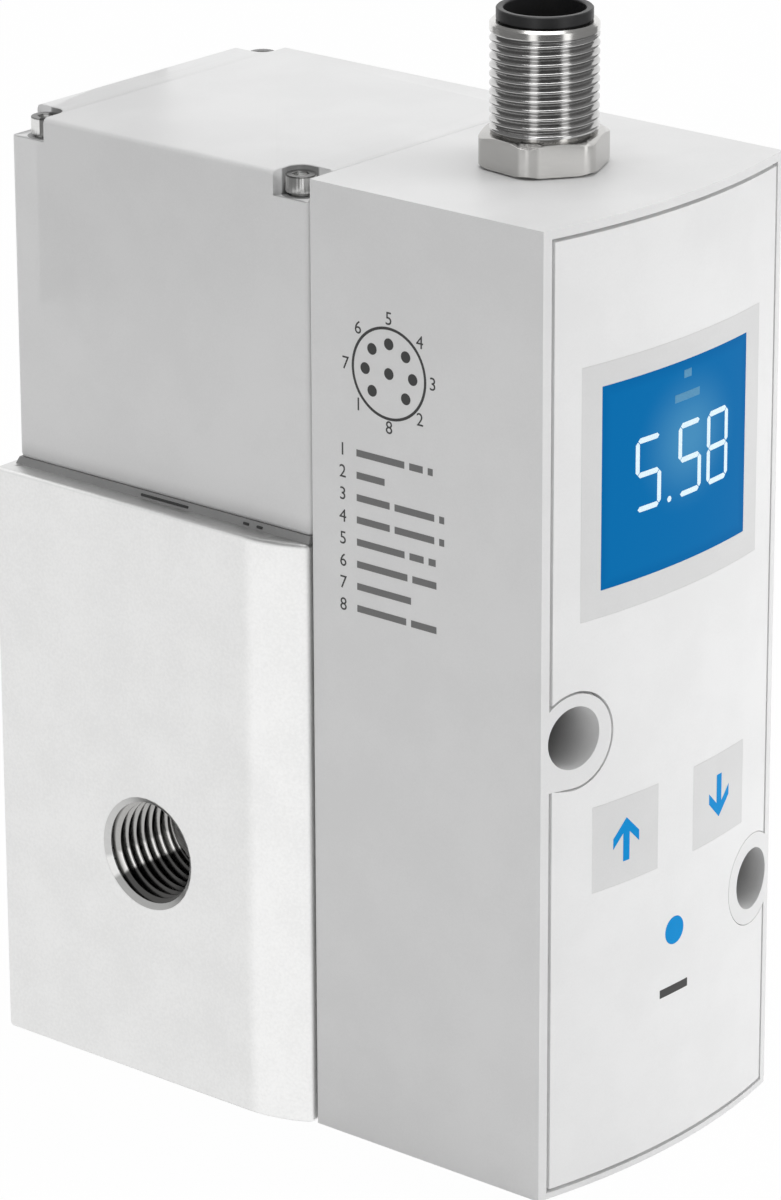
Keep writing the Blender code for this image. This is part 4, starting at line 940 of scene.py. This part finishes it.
def thread_tree():
    """A sleeve with a helical thread on one wall and a plain other wall; its rows follow the helix."""
    tree = GeometryTree("thread_sleeve", {
        "Radius": "Float", "Depth": "Float", "Plain Radius": "Float", "Pitch": "Float", "Length": "Float",
        "Flat": "Float", "Steps": "Int", "Turns": "Int", "Columns": "Int", "Runout": "Float",
        "Finish": "Material",
    })
    given = tree.entry
    length, pitch, flat = given["Length"], given["Pitch"], given["Flat"]
    rows = given["Steps"] * given["Turns"]
    grid = tree.node("GeometryNodeMeshGrid", None, {
        "Size X": 1.0, "Size Y": 1.0, "Vertices X": given["Columns"] + 1, "Vertices Y": rows + 4,
    })
    x, y, _ = tree.position()
    turn = x + 0.5
    row = ((y + 0.5) * (rows + 3)).math("ROUND").math("FLOORED_MODULO", rows + 3)
    plain = row.math("GREATER_THAN", rows + 0.5)
    climb = (pitch * (row / given["Steps"] + turn - 1)).math("MAXIMUM", 0.0).math("MINIMUM", length)
    height = climb * (1 - plain) + length * (rows + 2 - row) * plain
    phase = ((row + 0.001) / given["Steps"]).math("FRACT")
    ridge = 1 - (phase * 2 - 1).math("ABSOLUTE")
    ridge = ((ridge - flat) / (1 - 2 * flat)).math("MAXIMUM", 0.0).math("MINIMUM", 1.0)
    fade = (height.math("MINIMUM", length - height) / (given["Runout"] * pitch)).math("MINIMUM", 1.0)
    threaded = given["Radius"] + given["Depth"] * (1 - ridge) * fade
    radius = threaded * (1 - plain) + given["Plain Radius"] * plain
    angle = turn * FULL_TURN
    spot = tree.node("ShaderNodeCombineXYZ", None, {
        0: radius * angle.math("COSINE"), 1: radius * angle.math("SINE"), 2: height,
    })
    shaped = tree.node("GeometryNodeSetPosition", None, {"Geometry": grid, "Position": spot})
    tree.close(tree.node("GeometryNodeMergeByDistance", None, {"Geometry": shaped, "Distance": WELD}))
    return tree


def screw_tree():
    """A socket screw: knurled head up from the seat, hexagon socket, and shank below."""
    tree = GeometryTree("socket_screw", {
        "Head Radius": "Float", "Head Height": "Float", "Shank Radius": "Float", "Length": "Float",
        "Socket Radius": "Float", "Knurls": "Int", "Knurl Depth": "Float", "Finish": "Material",
    })
    given = tree.entry
    head_height, overlap = given["Head Height"], 0.05 * MM
    head = tree.node("GeometryNodeMeshCylinder", None, {
        "Vertices": given["Knurls"] * 4, "Radius": given["Head Radius"], "Depth": head_height,
    })
    x, y, z = tree.position()
    wave = (y.math("ARCTAN2", x) * given["Knurls"]).math("COSINE") * 0.5 + 0.5
    share = 1 - wave * given["Knurl Depth"] / given["Head Radius"]
    spot = tree.node("ShaderNodeCombineXYZ", None, {0: x * share, 1: y * share, 2: z + head_height / 2})
    head = tree.node("GeometryNodeSetPosition", None, {"Geometry": head, "Position": spot})
    shank = tree.node("GeometryNodeMeshCylinder", None, {
        "Vertices": 32, "Radius": given["Shank Radius"], "Depth": given["Length"] + overlap,
    })
    drop = tree.node("ShaderNodeCombineXYZ", None, {2: overlap / 2 - given["Length"] / 2})
    shank = tree.node("GeometryNodeSetPosition", None, {"Geometry": shank, "Offset": drop})
    settings = {"operation": "UNION", "solver": "EXACT"}
    whole = tree.node("GeometryNodeMeshBoolean", settings, {1: [head, shank]})
    socket = tree.node("GeometryNodeMeshCylinder", None, {
        "Vertices": 6, "Radius": given["Socket Radius"], "Depth": head_height,
    })
    lift = tree.node("ShaderNodeCombineXYZ", None, {2: head_height})
    socket = tree.node("GeometryNodeSetPosition", None, {"Geometry": socket, "Offset": lift})
    settings = {"operation": "DIFFERENCE", "solver": "EXACT"}
    tree.close(tree.node("GeometryNodeMeshBoolean", settings, {0: whole, 1: [socket]}))
    return tree


def dot_tree():
    """Dots set round a circle, with one place left empty and one more in the middle."""
    tree = GeometryTree("dot_ring", {
        "Places": "Int", "Empty Place": "Int", "Ring Radius": "Float", "Dot Radius": "Float",
        "Thickness": "Float", "Finish": "Material",
    })
    given = tree.entry
    sockets = {"Vertices": given["Places"], "Radius": given["Ring Radius"]}
    ring = tree.node("GeometryNodeMeshCircle", None, sockets)
    index = tree.node("GeometryNodeInputIndex")
    empty = tree.node("FunctionNodeCompare", {"data_type": "INT", "operation": "EQUAL"}, {
        2: index, 3: given["Empty Place"],
    })
    sockets = {"Geometry": ring, "Selection": empty}
    ring = tree.node("GeometryNodeDeleteGeometry", {"domain": "POINT"}, sockets)
    middle = tree.node("GeometryNodePoints", None, {"Count": 1})
    spots = tree.node("GeometryNodeJoinGeometry", None, {"Geometry": [ring, middle]})
    dot = tree.node("GeometryNodeMeshCylinder", None, {
        "Vertices": 24, "Radius": given["Dot Radius"], "Depth": given["Thickness"],
    })
    tree.close(tree.node("GeometryNodeInstanceOnPoints", None, {"Points": spots, "Instance": dot}))
    return tree


def along(axis, direction):
    """The turn that lays a piece's own Z axis along a world axis, one way or the other."""
    turns = {"X": Matrix.Rotation(direction * math.pi / 2, 4, "Y"),
             "Y": Matrix.Rotation(-direction * math.pi / 2, 4, "X"),
             "Z": Matrix.Rotation(0.0 if direction > 0 else math.pi, 4, "X")}
    return turns[axis]


def threads():
    """The ports' pipe threads, the exhaust's thread and the connector's metric thread."""
    tree = thread_tree()
    ports = (
        ("inlet_thread", PORT_RADIUS, PORT_THREAD, PORT_PITCH, PORT_DEPTH, "X", -1,
         (BLOCK_LOW.x, VALVE_Y, PORT_Z)),
        ("outlet_thread", PORT_RADIUS, PORT_THREAD, PORT_PITCH, PORT_DEPTH, "X", 1,
         (BLOCK_HIGH.x, VALVE_Y, PORT_Z)),
        ("exhaust_thread", EXHAUST_RADIUS, EXHAUST_THREAD, EXHAUST_PITCH, EXHAUST_DEPTH, "Y", 1,
         (0.0, BLOCK_HIGH.y, EXHAUST_Z)),
    )
    for name, radius, depth, pitch, length, axis, direction, mouth in ports:
        length = length - THREAD_SHORT
        values = {
            "Radius": radius, "Depth": -depth, "Plain Radius": radius + SLEEVE_WALL, "Pitch": pitch,
            "Length": length, "Flat": 0.14, "Runout": 0.6, "Steps": 16, "Columns": 72,
            "Turns": math.ceil(length / pitch) + 1, "Finish": FINISHES["thread_metal"],
        }
        inwards = Matrix.Translation((0, 0, -length - THREAD_START))
        place = Matrix.Translation(mouth) @ along(axis, direction) @ inwards
        thread = soften(tree.make(name, values, place), 50.0)
        dress(thread, "port_thread" if axis == "X" else "thread_metal")

    bottom = HEX_LOW + HEX_HEIGHT + UNDERCUT_HEIGHT
    length = SHELL_HIGH.z - COLLAR - bottom
    values = {
        "Radius": BARREL_RADIUS, "Depth": -PLUG_THREAD, "Plain Radius": BORE_RADIUS, "Pitch": PLUG_PITCH,
        "Length": length, "Flat": 0.16, "Runout": 0.5, "Steps": 16, "Columns": 96,
        "Turns": math.ceil(length / PLUG_PITCH) + 1, "Finish": FINISHES["nickel_thread"],
    }
    place = Matrix.Translation((0, CONNECTOR_Y, bottom))
    thread = soften(tree.make("connector_thread", values, place), 50.0)
    dress(thread, "nickel_thread")
    collar = lathe("connector_collar", [
        (BORE_RADIUS, COLLAR), (BARREL_RADIUS - 0.3 * MM, COLLAR), (BARREL_RADIUS, COLLAR - 0.3 * MM),
        (BARREL_RADIUS, 0.0), (BORE_RADIUS, 0.0),
    ], (0, CONNECTOR_Y, SHELL_HIGH.z - COLLAR))
    dress(soften(collar), "nickel")


def port_mouths():
    """The turned countersink at the mouth of each port."""
    depth = 0.5 * MM
    for name, radius, axis, direction, mouth in (
        ("inlet_mouth", PORT_RADIUS, "X", -1, (BLOCK_LOW.x, VALVE_Y, PORT_Z)),
        ("outlet_mouth", PORT_RADIUS, "X", 1, (BLOCK_HIGH.x, VALVE_Y, PORT_Z)),
        ("exhaust_mouth", EXHAUST_RADIUS, "Y", 1, (0.0, BLOCK_HIGH.y, EXHAUST_Z)),
    ):
        profile = [(radius + 0.15 * MM, 0.0), (radius + 0.15 * MM, -depth), (radius - depth, -depth)]
        ring = cutter(profile, mouth, axis, direction)
        ring.name = name
        dress(soften(ring), "port_mouth" if axis == "X" else "turned_aluminium")


def connector_pieces():
    """The connector's chamfered hexagon with the shank below and the undercut above."""
    place = (0, CONNECTOR_Y, 0)
    low, high = HEX_LOW, HEX_LOW + HEX_HEIGHT
    reach = (HEX_FLATS / 2 - HEX_CORNER) / math.cos(math.radians(30))
    outline = []
    for i in range(6):
        corner = math.radians(HEX_TURN + 60 * i)
        for step in range(HEX_CORNER_STEPS + 1):
            turn = corner + math.radians(60 * step / HEX_CORNER_STEPS - 30)
            outline.append((reach * math.cos(corner) + HEX_CORNER * math.cos(turn),
                            CONNECTOR_Y + reach * math.sin(corner) + HEX_CORNER * math.sin(turn)))
    hexagon = plate("connector_hexagon", [outline], low, high)
    slope = HEX_CHAMFER / math.tan(math.radians(30))
    inner = HEX_FLATS / 2 - 0.1 * MM
    cone = lathe("chamfer_cone", [
        (0.0, high + MM), (inner, high + MM), (inner, high), (inner + slope, high - HEX_CHAMFER),
        (inner + slope, low + 0.3 * MM), (inner + slope / 2, low), (inner + slope / 2, low - MM),
        (0.0, low - MM),
    ], place)
    hexagon = boolean(hexagon, "INTERSECT", cone)
    top = high + UNDERCUT_HEIGHT
    stem = lathe("connector_stem", [
        (0.0, top), (UNDERCUT_RADIUS, top), (UNDERCUT_RADIUS, high - MM), (SHANK_RADIUS, high - MM),
        (SHANK_RADIUS, SHELL_LOW.z), (0.0, SHELL_LOW.z),
    ], place)
    hexagon = boolean(hexagon, "UNION", stem)
    hollow = lathe("connector_bore", [
        (0.0, top + MM), (BORE_RADIUS, top + MM), (BORE_RADIUS, SHELL_LOW.z - MM), (0.0, SHELL_LOW.z - MM),
    ], place)
    hexagon = soften(boolean(hexagon, "DIFFERENCE", hollow))
    dress(hexagon, "flange_nickel", ["connector_shell"])


def pin_carrier():
    """The black carrier of the pins: a rim over the barrel's end, a deep socket and its floor."""
    low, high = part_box("connector_insert")
    floor_z, edge = high.z - SOCKET_DEPTH, 0.12 * MM
    carrier = lathe("pin_carrier", [
        (0.0, floor_z), (SOCKET_RADIUS, floor_z), (SOCKET_RADIUS, high.z - 2 * edge),
        (SOCKET_RADIUS + edge, high.z - edge / 2), (SOCKET_RADIUS + 2 * edge, high.z),
        (CARRIER_RADIUS - edge, high.z), (CARRIER_RADIUS, high.z - edge),
        (CARRIER_RADIUS, high.z - CARRIER_RIM), (CARRIER_BODY, high.z - CARRIER_RIM),
        (CARRIER_BODY, low.z), (0.0, low.z),
    ], (0, CONNECTOR_Y, 0), 96)
    dress(soften(carrier, 40.0), "black_plastic", ["connector_insert"])


def screws():
    """Socket screws in the top corner pockets and at the bottom of the face's wells."""
    tree = screw_tree()
    for node in ["rear_screw_%d" % i for i in range(1, 5)] + ["front_screw_1", "front_screw_2"]:
        low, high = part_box(node)
        middle = (low + high) / 2
        upright = node.startswith("rear")
        head_radius = (high.x - low.x) / 2
        head_height = (2.0 if upright else 4.0) * MM
        shank = (1.2 if upright else 2.0) * MM
        reach = (high.z - low.z if upright else high.y - low.y) - head_height
        if upright:
            place = Matrix.Translation((middle.x, middle.y, high.z - head_height))
        else:
            place = Matrix.Translation((middle.x, low.y + head_height, middle.z)) @ along("Y", -1)
        values = {
            "Head Radius": head_radius, "Head Height": head_height, "Shank Radius": shank, "Length": reach,
            "Socket Radius": 0.55 * head_radius, "Knurls": 24, "Knurl Depth": 0.04 * MM,
            "Finish": FINISHES["steel"],
        }
        screw = soften(bevelled(tree.make(node + "_socket_screw", values, place), 0.12 * MM, 2, 60.0), 50.0)
        dress(screw, "screw_steel", [node])


def smooth_copy(node, finish):
    """A CAD shell, merged and shaded smooth on its round faces."""
    copy = new_object(node + "_shell", frame["nodes"][node].data.copy())
    form = bmesh.new()
    form.from_mesh(copy.data)
    bmesh.ops.remove_doubles(form, verts=form.verts, dist=WELD)
    form.to_mesh(copy.data)
    form.free()
    return dress(soften(copy), finish, [node])


def carried_over():
    """Shells kept from the solids, and the poppet's spring, given a mesh of its own."""
    smooth_copy("rear_housing", "pilot_paint")
    smooth_copy("valve_body", "cast_light_grey")
    smooth_copy("bottom_plug", "turned_aluminium")
    spring = smooth_copy("poppet_spring", "steel")
    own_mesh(spring)


def side_place(y, z):
    """A place on the display housing's left side, with text running towards the face."""
    turn = Matrix(((0, 0, -1, 0), (-1, 0, 0, 0), (0, 1, 0, 0), (0, 0, 0, 1)))
    return Matrix.Translation((-HALF_WIDTH, FACE_EDGE_Y + y, z)) @ turn


def side_plate(name, outlines, y, z):
    """Flat outlines printed on the left side, about a place on it."""
    piece = plate(name, outlines, -SIDE_DEPTH, SIDE_LIFT)
    piece.data.transform(side_place(y, z))
    return piece


def numeral(text, y, z):
    curve = bpy.data.curves.new("number", "FONT")
    curve.body = text
    curve.size = NUMBER_SIZE
    curve.align_x = "CENTER"
    curve.align_y = "CENTER"
    curve.extrude = (SIDE_LIFT + SIDE_DEPTH) / 2
    curve.resolution_u = 3
    piece = new_object("number", curve)
    piece.matrix_world = side_place(y, z) @ Matrix.Translation((0, 0, (SIDE_LIFT - SIDE_DEPTH) / 2))
    return weld(settle(piece))


def gasket_edge():
    """A sloping grey strip of gasket round the pilot housing's foot, out over the block's ledge, whose dark
    grey is painted shade of that ledge; and short dark strips on its left side.
    """
    low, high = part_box("rear_housing")
    seam, ledge = low.z + 0.12 * MM, BLOCK_HIGH.z - 0.02 * MM
    form = bmesh.new()
    rings = []
    for grow, height in ((0.03 * MM, seam), (0.35 * MM, ledge), (-0.8 * MM, ledge), (-0.8 * MM, seam)):
        front = low.y + max(0.05 * MM, -grow)
        corners = [(low.x - grow, front), (high.x + grow, front),
                   (high.x + grow, high.y + grow), (low.x - grow, high.y + grow)]
        rings.append([form.verts.new((x, y, height)) for x, y in corners])
    for ring, following in zip(rings, rings[1:] + rings[:1]):
        for i in range(4):
            form.faces.new((ring[i], ring[(i + 1) % 4], following[(i + 1) % 4], following[i]))
    # painted shade: the strip's grey stands for the shade on the block's ledge
    dress(weld(made_from(form, "gasket_strip")), "grey_gasket")
    low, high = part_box("rear_gasket")
    beads = []
    for start, stop in BEADS:
        outer = low.x - 0.62 * MM
        bead = plate("bead", [[(outer, start), (low.x, start), (low.x, stop), (outer, stop)]],
                     low.z + 0.05 * MM, high.z - 0.05 * MM)
        beads.append(bevelled(bead, 0.1 * MM, 2))
    dress(joined("joint_dark_strips", beads), "black_rubber")


def joined(name, parts):
    """One object from several plain ones."""
    form = bmesh.new()
    for part in parts:
        form.from_mesh(part.data)
        bpy.data.objects.remove(part, do_unlink=True)
    return made_from(form, name)


def pin_diagram():
    """The connector's pins as a printed circle of dots with numbers, and a numbered list of bars."""
    ring = side_plate("diagram_ring", [
        circle(0, 0, DIAGRAM_RADIUS + DIAGRAM_LINE / 2, 64),
        circle(0, 0, DIAGRAM_RADIUS - DIAGRAM_LINE / 2, 64),
    ], DIAGRAM_Y, DIAGRAM_Z)
    values = {
        "Places": PIN_PLACES, "Empty Place": 0, "Ring Radius": PIN_RING, "Dot Radius": PIN_DOT,
        "Thickness": 2 * SIDE_LIFT, "Finish": FINISHES["dark_print"],
    }
    empty_down = Matrix.Rotation(-math.pi / 2, 4, "Z")
    dots = dot_tree().make("diagram_dots", values, side_place(DIAGRAM_Y, DIAGRAM_Z) @ empty_down)
    numbers = []
    for i, number in enumerate(RING_NUMBERS):
        turn = math.radians(360 / PIN_PLACES * i) - math.pi / 2
        across, up = NUMBER_RING * math.cos(turn), NUMBER_RING * math.sin(turn)
        numbers.append(numeral(str(number), DIAGRAM_Y - across, DIAGRAM_Z + up))
    for i in range(len(LIST_BARS)):
        numbers.append(numeral(str(i + 1), LIST_NUMBER_Y, LIST_TOP - LIST_PITCH * i))
    bars = []
    for i, lengths in enumerate(LIST_BARS):
        start = 0.0
        for length in lengths:
            middle = (start + length * MM / 2, -LIST_PITCH * i)
            bars.append(rectangle(*middle, length * MM, BAR_HEIGHT))
            start += length * MM + BAR_GAP
    print_bars = side_plate("list_bars", bars, LIST_BAR_Y, LIST_TOP)
    dress(joined("diagram_print", [ring, dots]), "dark_print")
    dress(joined("diagram_numbers", numbers), "dark_print")
    dress(print_bars, "grey_print")


def dress_the_rest():
    """Every CAD node that still shows gets its slot's finish."""
    slots = {entry["node"]: entry["material_slot"] for entry in frame["record"]["subparts"]}
    for name, node in frame["nodes"].items():
        node.data.materials.clear()
        node.data.materials.append(FINISHES[slots[name]])


def looked_at(tree):
    """1 where the camera, a mirror or a clear surface looks, 0 for the light that falls on the object."""
    rays = tree.outputs("ShaderNodeLightPath")
    mirrored = rays["Is Camera Ray"].math("MAXIMUM", rays["Is Glossy Ray"])
    return mirrored.math("MAXIMUM", rays["Is Transmission Ray"])


def stage_finish(name, base, share):
    """A pale stage surface that shows white to the camera and to mirrors and keeps its shadows."""
    finish = Finish(name, {"Roughness": 0.9})
    mottle = finish.noise(400 * MM, 2.0)
    finish.feed("Base Color", finish.blend(scaled(base, 0.99), base, mottle))
    white = finish.node("ShaderNodeEmission", None, {"Color": (1.0, 1.0, 1.0, 1.0), "Strength": 1.0})
    finish.give_way(looked_at(finish) * share, white)
    return finish.material


def floor():
    """A wide pale floor."""
    form = bmesh.new()
    bmesh.ops.create_circle(form, cap_ends=True, segments=64, radius=FLOOR_RADIUS)
    piece = made_from(form, "floor")
    piece.data.materials.append(stage_finish("floor_white", (0.95, 0.95, 0.95), FLOOR_WHITE))


def backdrop():
    """A dark wall round the front and sides, clear of the part, with two slits of light for the metal."""
    form = bmesh.new()
    turns = [math.radians(AZIMUTH + WALL_OPEN * (2 * i / WALL_STEPS - 1)) for i in range(WALL_STEPS + 1)]
    rims = []
    for height in (WALL_LOW, WALL_HIGH):
        places = [(WALL_RADIUS * math.sin(turn), CONNECTOR_Y - WALL_RADIUS * math.cos(turn), height)
                  for turn in turns]
        rims.append([form.verts.new(place) for place in places])
    for i in range(WALL_STEPS):
        form.faces.new((rims[0][i], rims[1][i], rims[1][i + 1], rims[0][i + 1]))
    piece = made_from(form, "backdrop")
    piece.data.materials.append(backdrop_finish())
    piece.visible_camera = False
    piece.visible_diffuse = False
    piece.visible_transmission = False
    piece.visible_shadow = False


def backdrop_finish():
    """Lit by itself: dark, with upright slits of light, and clear from behind."""
    finish = Finish("backdrop_grey", {
        "Base Color": (0.0, 0.0, 0.0, 1.0), "Roughness": 1.0, "Specular IOR Level": 0.0,
        "Emission Strength": SLIT_LEVEL,
    })
    finish.feed("Emission Color", tones_by_bearing(finish, SLIT_EDGES, WALL_TONES, 0.02))
    behind = finish.node("ShaderNodeNewGeometry", output="Backfacing")
    finish.give_way(behind, finish.node("ShaderNodeBsdfTransparent"))
    return finish.material


def world():
    """Soft light from all round, white where it is seen or mirrored."""
    sky = bpy.data.worlds.new("sky")
    bpy.context.scene.world = sky
    sky.use_nodes = True
    strength = SKY_LEVEL + looked_at(Tree(sky.node_tree)) * (1 - SKY_LEVEL)
    background = sky.node_tree.nodes["Background"]
    background.inputs["Color"].default_value = (1.0, 1.0, 1.0, 1.0)
    sky.node_tree.links.new(strength.socket, background.inputs["Strength"])


def lamps():
    for name, place, aim, width, power, mirrored in LAMPS:
        light = bpy.data.lights.new(name, "AREA")
        light.size = width
        light.energy = power
        lamp = bpy.data.objects.new(name, light)
        bpy.context.scene.collection.objects.link(lamp)
        lamp.location = place
        lamp.visible_glossy = mirrored
        lamp.rotation_euler = (Vector(aim) - Vector(place)).to_track_quat("-Z", "Y").to_euler()


def camera():
    azimuth, elevation, roll = (math.radians(angle) for angle in (AZIMUTH, ELEVATION, ROLL))
    right = Vector((math.cos(azimuth), math.sin(azimuth), 0.0))
    back = Vector((math.sin(azimuth) * math.cos(elevation), -math.cos(azimuth) * math.cos(elevation),
                   math.sin(elevation)))
    up = back.cross(right)
    turned_right = right * math.cos(roll) + up * math.sin(roll)
    turned_up = up * math.cos(roll) - right * math.sin(roll)
    eye = back * DISTANCE + right * AIM_ACROSS + Vector((0.0, FACE_EDGE_Y, AIM_HEIGHT))
    lens = bpy.data.cameras.new("camera")
    lens.lens = LENS
    lens.sensor_width = 36.0
    lens.clip_start = 0.01
    lens.clip_end = 100.0
    viewer = bpy.data.objects.new("camera", lens)
    bpy.context.scene.collection.objects.link(viewer)
    viewer.matrix_world = Matrix((
        (turned_right.x, turned_up.x, back.x, eye.x), (turned_right.y, turned_up.y, back.y, eye.y),
        (turned_right.z, turned_up.z, back.z, eye.z), (0.0, 0.0, 0.0, 1.0),
    ))
    bpy.context.scene.camera = viewer


FINISHES = finishes()
camera()
world()
lamps()
floor()
backdrop()
dress_the_rest()
carried_over()
front_shell()
face_pieces()
face_print()
threads()
port_mouths()
connector_pieces()
pin_carrier()
screws()
gasket_edge()
pin_diagram()
bpy.context.scene.view_settings.view_transform = "Standard"
